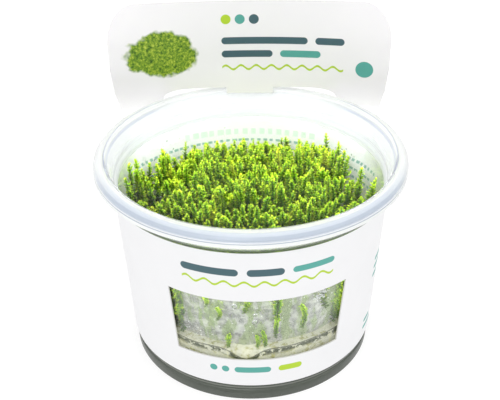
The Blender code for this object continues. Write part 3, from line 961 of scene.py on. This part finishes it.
def gel_finish():
    finish = Finish("culture gel")
    place = where(finish)[0]
    cloud = grain(place, 7 * MM, 3.0)
    litter = grain(place, 1.8 * MM, 4.0, 0.65)
    drift = grain(place, 9 * MM, 1.0)
    depth = finish.stored("depth")
    colour = finish.colours(cloud, (0.95, 0.94, 0.84), (0.88, 0.88, 0.74))
    bump = relief(cloud, 0.3 * MM, 0.3)
    glass = principled(finish, Base_Color=colour, Roughness=0.02 + 0.06 * cloud, IOR=1.34,
                       Transmission_Weight=1.0, Normal=bump)
    soft = finish.colours(step(litter, 0.48, 0.64), (0.95, 0.93, 0.76),
                          (0.52, 0.50, 0.20))
    # Painted shade: a dark line just under the gel's edge at the wall, for the dark edge of the
    # meniscus.
    meniscus_shade_line = 1.0 - step(abs(depth - 0.45), 0.12, 0.38)
    meniscus_shade_line = meniscus_shade_line * step(drift, 0.2, 0.4)
    below = step(depth, 0.5, 0.9) * (1.0 - step(depth + 2.0 * drift, 2.6, 4.2))
    clumps = below * step(litter, 0.43, 0.49)
    soft = finish.colours(clumps, soft, (0.035, 0.05, 0.012))
    soft = finish.colours(meniscus_shade_line * 0.9, soft, (0.03, 0.04, 0.012))
    cloudy = milky(finish, soft, 0.35, 0.35)
    share = finish.maths("MAXIMUM", 0.45 + 0.30 * cloud,
                         0.97 * finish.maths("MAXIMUM", clumps, meniscus_shade_line))
    body = finish.mix(share, glass, cloudy)
    return finish.show(lets_lamps_through(finish, body, (0.96, 0.96, 0.90)))


gel = keep(gel_skin, "set_gel", [gel_finish()], sharp=60)
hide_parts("gel")

# %% [markdown]
# ## The moss
# A shoot of this moss is a thin stem with tiny pointed leaves all round it, about two
# millimetres wide in all. There are more than a thousand shoots, so we build up from small
# repeated parts: one leaf of two faces, a whorl of leaves, and a dozen different shoots made
# of whorls. Every point also stores three numbers for the colour: how far along the shoot it
# is, how far out on its leaf, and one chance value for the whole shoot.

# %% The leaf and its three numbers
SHOOT_LENGTH = 30.0 * MM
LEAF_LENGTH = 1.5 * MM
LEAF_WIDTH = 0.85 * MM
STEM_RADIUS = 0.11 * MM
FIRST_WHORL = 0.6 * MM
WHORL_SPACING = 0.82 * MM
DIFFERENT_SHOOTS = 12


def with_layers():
    """An empty bmesh with the three numbers on its points."""
    bm = bmesh.new()
    layers = {name: bm.verts.layers.float.new(name) for name in ("along", "out", "tone")}
    return bm, layers


def new_points(bm, count):
    bm.verts.ensure_lookup_table()
    return bm.verts[len(bm.verts) - count:]


leaf_bm, leaf_layers = with_layers()
base = leaf_bm.verts.new((0.0, 0.0, 0.0))
left = leaf_bm.verts.new((-LEAF_WIDTH / 2, 0.14 * MM, LEAF_LENGTH * 0.5))
right = leaf_bm.verts.new((LEAF_WIDTH / 2, 0.14 * MM, LEAF_LENGTH * 0.5))
tip = leaf_bm.verts.new((0.0, 0.05 * MM, LEAF_LENGTH))
leaf_bm.faces.new((base, right, tip))
leaf_bm.faces.new((base, tip, left))
for point, value in ((base, 0.0), (left, 0.6), (right, 0.6), (tip, 1.0)):
    point[leaf_layers["out"]] = value
leaf_mesh = as_mesh(leaf_bm, "leaf")

# %% [markdown]
# A shoot has a three-sided stem, which is only seen low down, and whorls of leaves that get
# closer, shorter and steeper towards the tip. Some shoots also carry a side branch. The whole
# shoot bows a little, but its tip stays over its foot, so that it is easy to aim.

# %% One shoot
def leafy_stem(bm, layers, start, end, bow, spacing, width, leaves, rng, along_from=0.0):
    """A stem from start to end with whorls of leaves, bowed sideways."""
    axis = end - start
    length = axis.length
    turn_to_axis = axis.to_track_quat("Z", "Y").to_matrix().to_4x4()

    def on_stem(t):
        return start + axis * t + bow * math.sin(math.pi * t)

    made = bmesh.ops.create_circle(bm, segments=3, radius=STEM_RADIUS,
                                   matrix=Matrix.Translation(start) @ turn_to_axis)
    ring_points = made["verts"]
    ring_edges = list({edge for point in ring_points for edge in point.link_edges})
    steps = max(2, round(length / (4.0 * MM)))
    for point in ring_points:
        point[layers["along"]] = along_from
    for k in range(1, steps + 1):
        grown = bmesh.ops.extrude_edge_only(bm, edges=ring_edges)
        ring_points = [g for g in grown["geom"] if isinstance(g, bmesh.types.BMVert)]
        ring_edges = [g for g in grown["geom"] if isinstance(g, bmesh.types.BMEdge)
                      and all(v in ring_points for v in g.verts)]
        move = on_stem(k / steps) - on_stem((k - 1) / steps)
        bmesh.ops.translate(bm, vec=move, verts=ring_points)
        for point in ring_points:
            point[layers["along"]] = along_from + (1.0 - along_from) * k / steps
    height = FIRST_WHORL
    whorl = 0
    while height < length - 0.1 * MM:
        t = height / length
        left_over = (length - height) / MM
        taper = min(1.0, 0.55 + left_over * 0.25)
        opening = math.radians(24 + 38 * min(1.0, left_over / 2.5))
        count = leaves if t > 0.4 or along_from > 0 else 3
        for i in range(count):
            angle = math.tau * (i + rng.uniform(-0.2, 0.2)) / count + whorl * 1.1
            size = taper * rng.uniform(0.7, 1.2)
            place = (Matrix.Translation(on_stem(t)) @ turn_to_axis
                     @ Matrix.Rotation(angle, 4, "Z") @ Matrix.Translation((0, -0.08 * MM, 0))
                     @ Matrix.Rotation(opening * rng.uniform(0.7, 1.3), 4, "X")
                     @ Matrix.Diagonal((width * (0.6 + 0.4 * taper), width, width * size, 1.0)))
            bm.from_mesh(leaf_mesh)
            points = new_points(bm, 4)
            bmesh.ops.transform(bm, matrix=place, verts=points)
            own_shade = rng.uniform(-0.22, 0.08)
            for point in points:
                point[layers["along"]] = along_from + (1.0 - along_from) * t + own_shade
        sparse = 2.4 if t < 0.25 and along_from == 0 else 1.0
        height += spacing * sparse * rng.uniform(0.85, 1.15)
        whorl += 1


def shoot_mesh(seed):
    """One of the different shoots, SHOOT_LENGTH tall, standing on the origin."""
    rng = random.Random(seed)
    bm, layers = with_layers()
    bow = Vector((rng.uniform(-2.0, 2.0), rng.uniform(-0.8, 0.8), 0.0)) * MM
    top = Vector((0.0, 0.0, SHOOT_LENGTH))
    leafy_stem(bm, layers, Vector((0, 0, 0)), top, bow, WHORL_SPACING, 1.0, 5, rng)
    for _ in range(1 + seed % 3):
        t = rng.uniform(0.55, 0.84)
        foot = top * t + bow * math.sin(math.pi * t)
        side = rng.uniform(0, math.tau)
        reach = rng.uniform(2.5, 4.5) * MM
        out = Vector((math.cos(side) * 0.6, math.sin(side) * 0.6, 0.8)) * reach
        leafy_stem(bm, layers, foot, foot + out, Vector((0, 0, 0)), 0.8 * MM, 0.9, 4, rng, t)
    return as_mesh(bm, f"shoot {seed}")


shoots = [shoot_mesh(seed) for seed in range(DIFFERENT_SHOOTS)]
print("shoot faces:", [len(mesh.polygons) for mesh in shoots])

# %% [markdown]
# ## Planting the tufts
# The shoots stand about two millimetres apart on a staggered grid, each moved a little at
# random. The photograph shows them tall in the back half and lower in front, so that one sees
# the long sides of the tall ones, with thinner spots at the back on both sides. The seven
# tufts are divided as in the CAD model, by wavy lines, so that each can be lifted out by itself.
# Heights are in millimetres above the table.

# %% How tall the moss stands
SPACING = 2.1 * MM
TUFTS = [("moss_right", -28.0), ("moss_back_right", 34.0), ("moss_back_left", 88.0),
         ("moss_left", 147.0), ("moss_front_left", 209.0), ("moss_front_right", 272.0)]
MIDDLE_RADIUS = 12.8 * MM
LOW_MOSS = 41.5
RISE_TO_THE_BACK = 12.5
RISE_TO_THE_WALL = 4.5
UNEVENNESS = 7.0
SHORTER_BY = 10.0
THINNER_BY = 7.0
TALLEST = 56.5


def tuft_of(x, y):
    """Name of the tuft that grows at this place."""
    radius = math.hypot(x, y)
    if radius < MIDDLE_RADIUS:
        return "moss_middle"
    angle = math.degrees(math.atan2(y, x))
    starts = []
    for index, (name, start) in enumerate(TUFTS):
        edge = start + 5.0 * math.sin(0.19 * radius / MM + 1.7 * index)
        starts.append((edge, name))
    angle = starts[0][0] + (angle - starts[0][0]) % 360.0
    return [name for edge, name in starts if edge <= angle][-1]


def thin_spot(x, y):
    """1 in the middle of the two thin spots near the wall, fading to 0."""
    radius = math.hypot(x, y) / MM
    angle = math.degrees(math.atan2(y, x))
    near = max(0.0, min(1.0, (radius - 27.0) / 6.0))
    return near * (math.exp(-((angle - 24.0) / 11.0) ** 2)
                   + math.exp(-((angle - 146.0) / 11.0) ** 2))


def top_of_moss(x, y, rng):
    """Height of the shoot that grows at this place."""
    reach = math.hypot(x, y) / (39.0 * MM)
    back = max(0.0, min(1.0, (y / MM + 6.0) / 26.0))
    height = LOW_MOSS + RISE_TO_THE_BACK * back * back * (3.0 - 2.0 * back)
    height += RISE_TO_THE_WALL * reach ** 3
    height += UNEVENNESS * noise.noise(Vector((x, y, 0.0)) * 110.0)
    height -= SHORTER_BY * rng.random() ** 1.5 + THINNER_BY * thin_spot(x, y)
    skyline = 69.0 - 0.5 * y / MM - 2.5 * rng.random()
    return min(height, TALLEST, skyline) * MM


# %% Plant them
rng = random.Random(41)
beds = {name: with_layers() for name in [name for name, _ in TUFTS] + ["moss_middle"]}
planted = []


def plant(bed, mesh, foot, top, width, tone, spin, youth=0.0, gap=0.2):
    """Adds a copy of a shoot that stands on foot and ends at top; youth 1 is all fresh.

    What would come nearer to the wall than the gap, in millimetres, lies flat against it.
    """
    bm, layers = bed
    bm.from_mesh(mesh)
    points = new_points(bm, len(mesh.vertices))
    axis = top - foot
    place = (Matrix.Translation(foot) @ axis.to_track_quat("Z", "Y").to_matrix().to_4x4()
             @ Matrix.Rotation(spin, 4, "Z")
             @ Matrix.Diagonal((width, width, axis.length / SHOOT_LENGTH, 1.0)))
    bmesh.ops.transform(bm, matrix=place, verts=points)
    tone_layer, along_layer = layers["tone"], layers["along"]
    for point in points:
        limit = inside(point.co.z) - gap * MM
        reach = math.hypot(point.co.x, point.co.y)
        if reach > limit:
            point.co.x *= limit / reach
            point.co.y *= limit / reach
        point[tone_layer] = tone
        if youth:
            point[along_layer] = youth + (1.0 - youth) * point[along_layer]


FOOT_HEIGHT = 21.9 * MM
STAGGER = 0.866
FRONT_HALF_ANGLE = 46.0
FRONT_EDGE = 36.6
BACK_EDGE = 38.2
BEHIND_THE_MIST = 2.5
JITTER = 0.8
rows = int(42 * MM / (SPACING * STAGGER)) + 1
for j in range(-rows, rows + 1):
    for i in range(-20, 21):
        x = (i + 0.5 * (j % 2)) * SPACING + rng.uniform(-JITTER, JITTER) * MM
        y = j * SPACING * STAGGER + rng.uniform(-JITTER, JITTER) * MM
        radius = math.hypot(x, y)
        in_front = abs(math.degrees(math.atan2(x, -y))) < FRONT_HALF_ANGLE
        if radius > (FRONT_EDGE if in_front else BACK_EDGE) * MM:
            continue
        if rng.random() < 0.5 * thin_spot(x, y):
            continue
        height = top_of_moss(x, y, rng)
        foot = Vector((x, y, FOOT_HEIGHT))
        lean = 1.0 + 0.0018 * (height - foot.z) / MM
        top = Vector((x * lean + rng.gauss(0, 1.7) * MM, y * lean + rng.gauss(0, 1.7) * MM,
                      height))
        limit = inside(height) - (3.4 if in_front else 1.5) * MM
        reach = math.hypot(top.x, top.y)
        if reach > limit:
            top.x *= limit / reach
            top.y *= limit / reach
        plant(beds[tuft_of(x, y)], rng.choice(shoots), foot, top,
              rng.uniform(0.8, 1.15), rng.random(), rng.uniform(0, math.tau),
              gap=BEHIND_THE_MIST if in_front else 0.2)
        planted.append((foot, radius))
print("planted", len(planted), "shoots")

# %% [markdown]
# Behind the window the moss is young and low: short shoots fill the room between the tall
# stems. They show as soft green shapes through the mist, next to green patches that are
# painted on the mist film itself.

# %% Young shoots behind the window
YOUNG_SHOOTS = 95
SIDE_SHOOTS = 56
SIDE_STRIPS = ((-50.0, -36.5), (41.0, 54.0))


def from_front(angle):
    """The level direction at this angle from the front."""
    return Vector((math.sin(angle), -math.cos(angle), 0.0))


for _ in range(YOUNG_SHOOTS):
    angle = math.radians(rng.uniform(-44.0, 48.0))
    distance = rng.uniform(31.0, 37.2) * MM
    direction = from_front(angle)
    foot = direction * distance + Vector((0, 0, 21.0 * MM))
    top = foot + direction * rng.uniform(-0.6, 0.8) * MM + Vector(
        (rng.gauss(0, 1.2) * MM, 0, rng.uniform(7.0, 20.0) * MM))
    plant(beds[tuft_of(foot.x, foot.y)], shoots[rng.randrange(DIFFERENT_SHOOTS)], foot, top,
          rng.uniform(0.8, 1.1), rng.random(), rng.uniform(0, math.tau), 0.35,
          BEHIND_THE_MIST)

# %% [markdown]
# The mist is clear at both sides of the window, and there the moss stands thick against the
# wall and shows as two dark green strips.

# %% Thick moss at both sides of the window
for _ in range(SIDE_SHOOTS):
    side = rng.choice(SIDE_STRIPS)
    angle = math.radians(rng.uniform(*side))
    direction = from_front(angle)
    foot = direction * rng.uniform(34.0, 38.0) * MM + Vector((0, 0, 20.5 * MM))
    top = direction * rng.uniform(36.5, 38.6) * MM + Vector((0, 0, rng.uniform(33.0, 47.0) * MM))
    plant(beds[tuft_of(foot.x, foot.y)], shoots[rng.randrange(DIFFERENT_SHOOTS)], foot, top,
          rng.uniform(0.9, 1.2), rng.random(), rng.uniform(0, math.tau), 0.45)

# %% [markdown]
# The skyline of the moss is the first thing one sees, so the shoots that make it are planted
# one by one along the back wall: direction from the axis in degrees, distance and tip height
# in millimetres.

# %% The skyline
SKYLINE_FOOT = 36.5
SKYLINE = [(176, 41.0, 57.0), (186, 41.0, 54.5), (166, 41.5, 58.2), (160, 41.0, 57.4),
           (163, 40.0, 55.0), (148, 41.0, 51.6), (136, 40.0, 51.0), (131.5, 40.5, 49.2),
           (121, 39.8, 49.8), (113.5, 40.0, 47.6), (107.5, 39.8, 51.0), (94.3, 39.5, 49.3),
           (86, 39.5, 50.3), (78, 39.5, 50.0), (71.5, 39.8, 52.7), (64, 39.5, 52.6),
           (56, 39.5, 52.6), (48.8, 40.0, 57.6), (43, 39.5, 52.0), (36.8, 39.5, 51.8),
           (32.5, 39.8, 53.8), (20.5, 40.0, 53.4), (6.6, 41.5, 54.6), (5.2, 40.6, 53.0)]
for degrees, distance, height in SKYLINE:
    turn = Vector((math.cos(math.radians(degrees)), math.sin(math.radians(degrees)), 0.0))
    foot = turn * SKYLINE_FOOT * MM + Vector((0, 0, FOOT_HEIGHT))
    top = turn * distance * MM + Vector((0, 0, height * MM))
    plant(beds[tuft_of(foot.x, foot.y)], shoots[rng.randrange(DIFFERENT_SHOOTS)], foot, top,
          rng.uniform(1.05, 1.25), rng.uniform(0.3, 0.9), rng.uniform(0, math.tau), 0.1)
    planted.append((foot, SKYLINE_FOOT * MM))
print(len(SKYLINE), "shoots on the skyline")

# %% [markdown]
# A few shoots lean against the wall behind the window. They are short, flat and bright, and
# the photograph shows them one by one, so each gets its own place: its angle from the front
# and the heights of its foot and its tip.

# %% Shoots against the window
# Angle from the front in degrees, foot and tip heights in mm, width, tone
AT_THE_WINDOW = [(-21.2, 36.0, 40.3, 0.6, 0.8), (-15.8, 31.0, 36.0, 0.55, 0.8),
                 (-3.5, 35.0, 42.0, 0.8, 0.85), (11.8, 31.0, 44.0, 1.1, 0.8),
                 (11.2, 24.5, 33.5, 0.65, 0.6), (21.9, 26.5, 35.8, 0.75, 0.75),
                 (-10.4, 20.0, 26.0, 0.6, 0.5), (1.6, 18.3, 25.6, 0.55, 0.6),
                 (4.4, 18.3, 27.4, 0.6, 0.1), (-33.4, 29.0, 43.0, 1.1, 0.5),
                 (35.5, 31.0, 43.0, 1.1, 0.1), (-34.5, 22.0, 33.0, 1.0, 0.2)]
for degrees, low, high, width, tone in AT_THE_WINDOW:
    angle = math.radians(degrees)
    ends = []
    for height, slide in ((low, rng.uniform(-0.5, 0.5)), (high, 0.0)):
        radius = inside(height * MM) - 1.25 * MM
        ends.append(Vector((radius * math.sin(angle) + slide * MM,
                            -radius * math.cos(angle), height * MM)))
    bed = beds["moss_front_right" if degrees > 2.0 else "moss_front_left"]
    plant(bed, shoots[rng.randrange(DIFFERENT_SHOOTS)], ends[0], ends[1], width, tone, 0.0, 0.52)
print(len(AT_THE_WINDOW), "shoots at the window")

# %% [markdown]
# Moss leaves are one cell thick, so light comes through them: a translucent shader is mixed
# in. The colour runs from brown-green at the foot to yellow-green at the tip of a shoot. The
# base of every leaf is painted dark, painted shade where it sits among the others, and its
# outer end is painted light, a painted glint, which gives the tufts their glittering look.

# %% Moss finish and the seven tufts
def moss_finish():
    finish = Finish("moss leaves")
    place = where(finish)[0]
    along, out, tone = [finish.stored(name) for name in ("along", "out", "tone")]
    fleck = grain(place, 1.1 * MM, 3.0, 0.65)
    age = along + 0.10 * (tone - 0.5) + 0.14 * (fleck - 0.5)
    stops = [(0.0, (0.10, 0.09, 0.02)), (0.35, (0.024, 0.075, 0.006)),
             (0.62, (0.040, 0.130, 0.005)), (0.84, (0.13, 0.34, 0.010)),
             (0.96, (0.27, 0.50, 0.014)), (1.0, (0.42, 0.62, 0.022))]
    green = finish.ramp(age, stops)
    # Painted shade at the base of every leaf, then a painted glint at its outer end.
    green = finish.colours(1.0 - step(out, 0.0, 0.65), green, (0.008, 0.03, 0.002))
    tip_glint = step(out, 0.55, 1.0) * step(age, 0.4, 0.9)
    green = finish.colours(tip_glint * (0.08 + 2.1 * fleck * fleck), green, (0.95, 0.92, 0.08))
    golden = step(tone, 0.86, 1.0) * step(age, 0.5, 0.9)
    green = finish.colours(golden * 0.22, green, (0.86, 0.72, 0.06))
    leaf = principled(finish, Base_Color=green, Roughness=0.3 + 0.2 * fleck,
                      Specular_IOR_Level=0.2)
    glow = finish.colours(0.2, green, (0.62, 0.62, 0.02))
    return finish.show(finish.mix(0.38, leaf, finish.bsdf("Translucent", glow)))


leaves = moss_finish()
tufts = []
for name, (bm, layers) in beds.items():
    tuft = keep(bm, name.replace("moss", "shoots"), [leaves])
    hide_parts(name)
    tufts.append(tuft)

# %% [markdown]
# ## In the gel
# The old lower stems reach down into the gel and fine brown threads hold the moss in it. Each
# is a four-sided tube with a bend, far too thin to need more.

# %% Threads
def thread_mesh(seed, length, radius):
    """A bent tube along Z with a few joints."""
    rng = random.Random(seed)
    bm = bmesh.new()
    bmesh.ops.create_circle(bm, cap_ends=True, segments=4, radius=radius)
    end = list(bm.faces)
    for _ in range(5):
        grown = bmesh.ops.extrude_face_region(bm, geom=end)
        end = [g for g in grown["geom"] if isinstance(g, bmesh.types.BMFace)]
        points = list({v for face in end for v in face.verts})
        move = Vector((rng.uniform(-0.3, 0.3), rng.uniform(-0.3, 0.3), 1.0)) * length / 5
        bmesh.ops.translate(bm, vec=move, verts=points)
    bmesh.ops.recalc_face_normals(bm, faces=bm.faces)
    return as_mesh(bm, "thread")


def add_copy(bm, mesh, place):
    bm.from_mesh(mesh)
    bmesh.ops.transform(bm, matrix=place, verts=new_points(bm, len(mesh.vertices)))


HAIRS_IN_THE_GEL = 420
stems = [thread_mesh(seed, 1.0 * MM, 0.16 * MM) for seed in range(5)]
hairs = [thread_mesh(seed + 9, 1.0 * MM, 0.07 * MM) for seed in range(5)]
gel_threads = bmesh.new()
for foot, radius in planted:
    if radius < 20.0 * MM or rng.random() < 0.35:
        continue
    depth = rng.uniform(3.0, 12.0)
    lean = Matrix.Rotation(math.pi + rng.gauss(0, 0.22), 4, "X")
    place = (Matrix.Translation(foot) @ Matrix.Rotation(rng.uniform(0, math.tau), 4, "Z")
             @ lean @ Matrix.Diagonal((1.0, 1.0, depth, 1.0)))
    add_copy(gel_threads, rng.choice(stems), place)
for _ in range(HAIRS_IN_THE_GEL):
    angle = rng.uniform(0, math.tau)
    radius = 37.0 * MM * math.sqrt(rng.uniform(0.25, 1.0))
    middle = Vector((radius * math.cos(angle), radius * math.sin(angle),
                     rng.uniform(7.0, 20.0) * MM))
    place = (Matrix.Translation(middle) @ Matrix.Rotation(rng.uniform(0, math.tau), 4, "Z")
             @ Matrix.Rotation(rng.uniform(0.5, 2.4), 4, "X")
             @ Matrix.Diagonal((1.0, 1.0, rng.uniform(1.5, 5.0), 1.0)))
    add_copy(gel_threads, rng.choice(hairs), place)


def thread_finish():
    finish = Finish("old stems and threads")
    place = where(finish)[0]
    patch = grain(place, 3 * MM, 3.0)
    colour = finish.colours(patch, (0.12, 0.13, 0.02), (0.48, 0.42, 0.14))
    return finish.show(principled(finish, Base_Color=colour, Roughness=0.5))


roots = keep(gel_threads, "old_stems", [thread_finish()])

# %% [markdown]
# ## Mist and drops on the wall
# The air in the cup is wet. A film of mist lies just inside the wall and veils what is behind
# it, more so at the right. It is a very thin curved sheet that is partly transparent. Drops
# stand on the wall, each a flat half sphere. The few large ones are clear water. The tiny ones
# behind the window are white, because tiny drops scatter the light, and farther round the wall
# white and clear ones are mixed.

# %% Mist
PANE = (-22.5, -22.2, 25.6, 25.9)


def mist_finish():
    finish = Finish("mist film")
    place, x, _, z = where(finish)
    cloud = grain(place, 2.4 * MM, 4.0, 0.6)
    fine = grain(place, 0.5 * MM, 2.0, 0.5)
    upright = finish.node("ShaderNodeVectorMath", {"operation": "MULTIPLY"},
                          {0: place, 1: (1.0, 1.0, 0.3)})
    painted_moss_behind = grain(upright, 2.8 * MM, 3.0, 0.6)
    pane = between(x, *PANE)
    thick_mist = 0.12 + 0.50 * cloud + 0.10 * fine + 0.24 * step(x, 9.0, 21.0)
    thick_mist = thick_mist * (0.02 + 0.98 * pane)
    fades = 1.0 - step(z, 44.0, 50.0)
    colour = finish.colours(step(cloud, 0.35, 0.65),
                            (0.40, 0.40, 0.38), (0.73, 0.73, 0.66))
    # Painted green patches on the film stand for the moss seen through it.
    colour = finish.colours(step(painted_moss_behind, 0.44, 0.56) * 0.7, colour, (0.36, 0.48, 0.17))
    film = principled(finish, Base_Color=colour, Roughness=0.5)
    clear = finish.bsdf("Transparent", (1.0, 1.0, 1.0))
    return finish.show(finish.mix(thick_mist * fades, clear, film))


MIST_FROM_THE_WALL = 2.3 * MM
mist_section = [(inside(h * MM) - MIST_FROM_THE_WALL, h * MM)
                for h in (20.0, 28.0, 36.0, 44.0, 50.0)]
mist_bm = bmesh.new()
points = [mist_bm.verts.new((0.0, -radius, height)) for radius, height in mist_section]
lines = [mist_bm.edges.new(pair) for pair in zip(points, points[1:])]
bmesh.ops.rotate(mist_bm, cent=(0, 0, 0), matrix=Matrix.Rotation(math.radians(-42), 3, "Z"),
                 verts=points)
bmesh.ops.spin(mist_bm, geom=points + lines, cent=(0, 0, 0), axis=(0, 0, 1),
               angle=math.radians(88), steps=44)
bmesh.ops.recalc_face_normals(mist_bm, faces=mist_bm.faces)
bmesh.ops.solidify(mist_bm, geom=list(mist_bm.faces), thickness=0.03 * MM)
mist = keep(mist_bm, "mist_film", [mist_finish()])

# %% Drops
def drop_mesh():
    """Half a sphere on the XY plane, one metre in radius, closed below."""
    bm = bmesh.new()
    bmesh.ops.create_uvsphere(bm, u_segments=8, v_segments=6, radius=1.0)
    whole = list(bm.verts) + list(bm.edges) + list(bm.faces)
    bmesh.ops.bisect_plane(bm, geom=whole, plane_co=(0, 0, 0.001), plane_no=(0, 0, 1),
                           clear_inner=True)
    bmesh.ops.holes_fill(bm, edges=[e for e in bm.edges if e.is_boundary])
    bmesh.ops.recalc_face_normals(bm, faces=bm.faces)
    return as_mesh(bm, "drop")


def water_finish():
    finish = Finish("water drops")
    place = where(finish)[0]
    glass = principled(finish, Base_Color=(0.99, 1.0, 1.0), IOR=1.33, Transmission_Weight=1.0,
                       Roughness=0.02 + 0.03 * grain(place, 1.0 * MM))
    return finish.show(lets_lamps_through(finish, glass, (0.99, 1.0, 1.0)))


def pearl_finish():
    """Tiny drops that stand close together look white."""
    finish = Finish("fine white drops")
    place = where(finish)[0]
    colour = finish.colours(grain(place, 0.4 * MM), (0.80, 0.82, 0.78), (0.98, 0.98, 0.97))
    return finish.show(milky(finish, colour, 0.4, 0.15))


drop = drop_mesh()
drops = bmesh.new()


def drop_on_wall(angle, height, size, white=False):
    """A drop on the inside of the wall; angle from the front, size is its radius."""
    before = len(drops.faces)
    radius = inside(height) - 0.02 * MM
    foot = Vector((radius * math.sin(angle), -radius * math.cos(angle), height))
    inward = Vector((-math.sin(angle), math.cos(angle), 0.07)).normalized()
    place = (Matrix.Translation(foot) @ inward.to_track_quat("Z", "Y").to_matrix().to_4x4()
             @ Matrix.Diagonal((size, size, size * 0.55, 1.0)))
    add_copy(drops, drop, place)
    if white:
        drops.faces.ensure_lookup_table()
        for face in drops.faces[before:]:
            face.material_index = 1


for angle, height, size in ((-7.5, 38.6, 0.9), (-8.6, 37.2, 0.5), (1.0, 32.4, 0.9),
                            (1.1, 35.2, 0.7), (1.5, 37.8, 0.5)):
    drop_on_wall(math.radians(angle), height * MM, size * MM)
    drop_on_wall(math.radians(angle + 0.7), height * MM + size * 0.5 * MM, 0.22 * MM, True)
FINE_DROPS = 85
LONE_DROPS = 34
DROPS_AT_THE_BACK = 330
for _ in range(FINE_DROPS):
    drop_on_wall(math.radians(rng.gauss(30.5, 2.1)), rng.gauss(38.6, 1.3) * MM,
                 rng.uniform(0.16, 0.30) * MM, True)
for _ in range(LONE_DROPS):
    drop_on_wall(math.radians(rng.uniform(-30.0, 38.0)), rng.uniform(24.0, 41.0) * MM,
                 rng.uniform(0.10, 0.2) * MM, True)
for _ in range(DROPS_AT_THE_BACK):
    side = rng.choice((-1, 1))
    drop_on_wall(math.radians(side * rng.gauss(132.0, 12.0)), rng.uniform(36.0, 56.0) * MM,
                 rng.uniform(0.10, 0.34) * MM, rng.random() < 0.6)
water = keep(drops, "water_drops", [water_finish(), pearl_finish()])

# %% [markdown]
# ## Floor and lights
# The photograph was taken in soft light from all round on white. A wide pale floor, a white
# sky and two large soft lamps give that. The floor glows a little by itself, which keeps the
# cup's shadow on it as faint as in the photograph.

# %% Floor
floor_bm = bmesh.new()
bmesh.ops.create_grid(floor_bm, x_segments=1, y_segments=1, size=2.5)
floor_mesh = as_mesh(floor_bm, "pale floor")
floor = bpy.data.objects.new("pale floor", floor_mesh)
scene.collection.objects.link(floor)
floor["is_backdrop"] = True
floor_finish = Finish("pale floor")
floor_place = where(floor_finish)[0]
paper = grain(floor_place, 30 * MM, 2.0)
pale = floor_finish.colours(paper, (0.22, 0.22, 0.22), (0.25, 0.25, 0.25))
floor_mesh.materials.append(floor_finish.show(
    principled(floor_finish, Base_Color=pale, Roughness=0.85,
               Emission_Color=(1.0, 1.0, 1.0), Emission_Strength=0.80)))

# %% Lights
scene.view_settings.view_transform = "Standard"
sky = bpy.data.worlds.new("white studio")
scene.world = sky
sky.use_nodes = True
background = sky.node_tree.nodes["Background"]
background.inputs["Color"].default_value = (1.0, 1.0, 1.0, 1.0)
background.inputs["Strength"].default_value = 1.0


def soft_lamp(name, place, size, power):
    lamp = bpy.data.lights.new(name, "AREA")
    lamp.shape = "DISK"
    lamp.size = size
    lamp.energy = power
    holder = bpy.data.objects.new(name, lamp)
    holder.location = place
    towards = Vector((0.0, 0.0, 0.05)) - Vector(place)
    holder.rotation_euler = towards.to_track_quat("-Z", "Y").to_euler()
    scene.collection.objects.link(holder)
    return holder


soft_lamp("key lamp", (-0.30, -0.62, 0.62), 0.4, 1.5)
soft_lamp("fill lamp", (0.55, -0.20, 0.60), 0.6, 1.0)

# %% [markdown]
# The moss stands in a deep cup and would be dim next to the white card. A photographer would
# bring small lamps close to the dark places and shade the rest. Light linking does the shading
# here: such a lamp shines only on the pieces in its own collection. Two are for the moss, from
# above and from the front, one is for the clear lid and cup, one for the gel, the mist and the
# drops, and a narrow one for the inside of the card. That one is a spot whose cone is squeezed
# flat by its scale, so it misses the header.

# %% Lamps for single pieces
def only_for(lamp, pieces):
    """Lets a lamp shine on these pieces alone."""
    group = bpy.data.collections.new("lit by the " + lamp.name)
    for piece in pieces:
        group.objects.link(piece)
    lamp.light_linking.receiver_collection = group
    print("the", lamp.name, "shines on", len(pieces), "pieces")


moss_lamp = soft_lamp("lamp for the moss", (0.02, 0.05, 0.62), 0.05, 10.5)
only_for(moss_lamp, tufts + [roots])
front_lamp = soft_lamp("front lamp for the moss", (-0.08, -0.55, 0.28), 0.05, 9.5)
only_for(front_lamp, tufts + [roots])
lid_lamp = soft_lamp("lamp for the lid", (-0.10, -0.50, 0.60), 0.3, 1.7)
only_for(lid_lamp, [lid, cup])
window_lamp = soft_lamp("lamp for the window", (0.0, -0.60, 0.30), 0.2, 1.9)
only_for(window_lamp, [gel, mist, water])

BEHIND_THE_MOSS = Vector((0.0, 0.043, 0.047))
spot = bpy.data.lights.new("lamp for the inside of the card", "SPOT")
spot.energy = 1.5
spot.shadow_soft_size = 0.01
spot.spot_size = math.radians(27)
spot.spot_blend = 0.6
card_lamp = bpy.data.objects.new(spot.name, spot)
card_lamp.location = (0.0, -0.20, 0.17)
towards_card = BEHIND_THE_MOSS - card_lamp.location
card_lamp.rotation_euler = towards_card.to_track_quat("-Z", "Y").to_euler()
card_lamp.scale = (1.0, 0.42, 1.0)
scene.collection.objects.link(card_lamp)
only_for(card_lamp, [sleeve])

# %% Measure the visual box
low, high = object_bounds()
print("visual box in mm:", [round(v / MM, 1) for v in (*low, *high)])
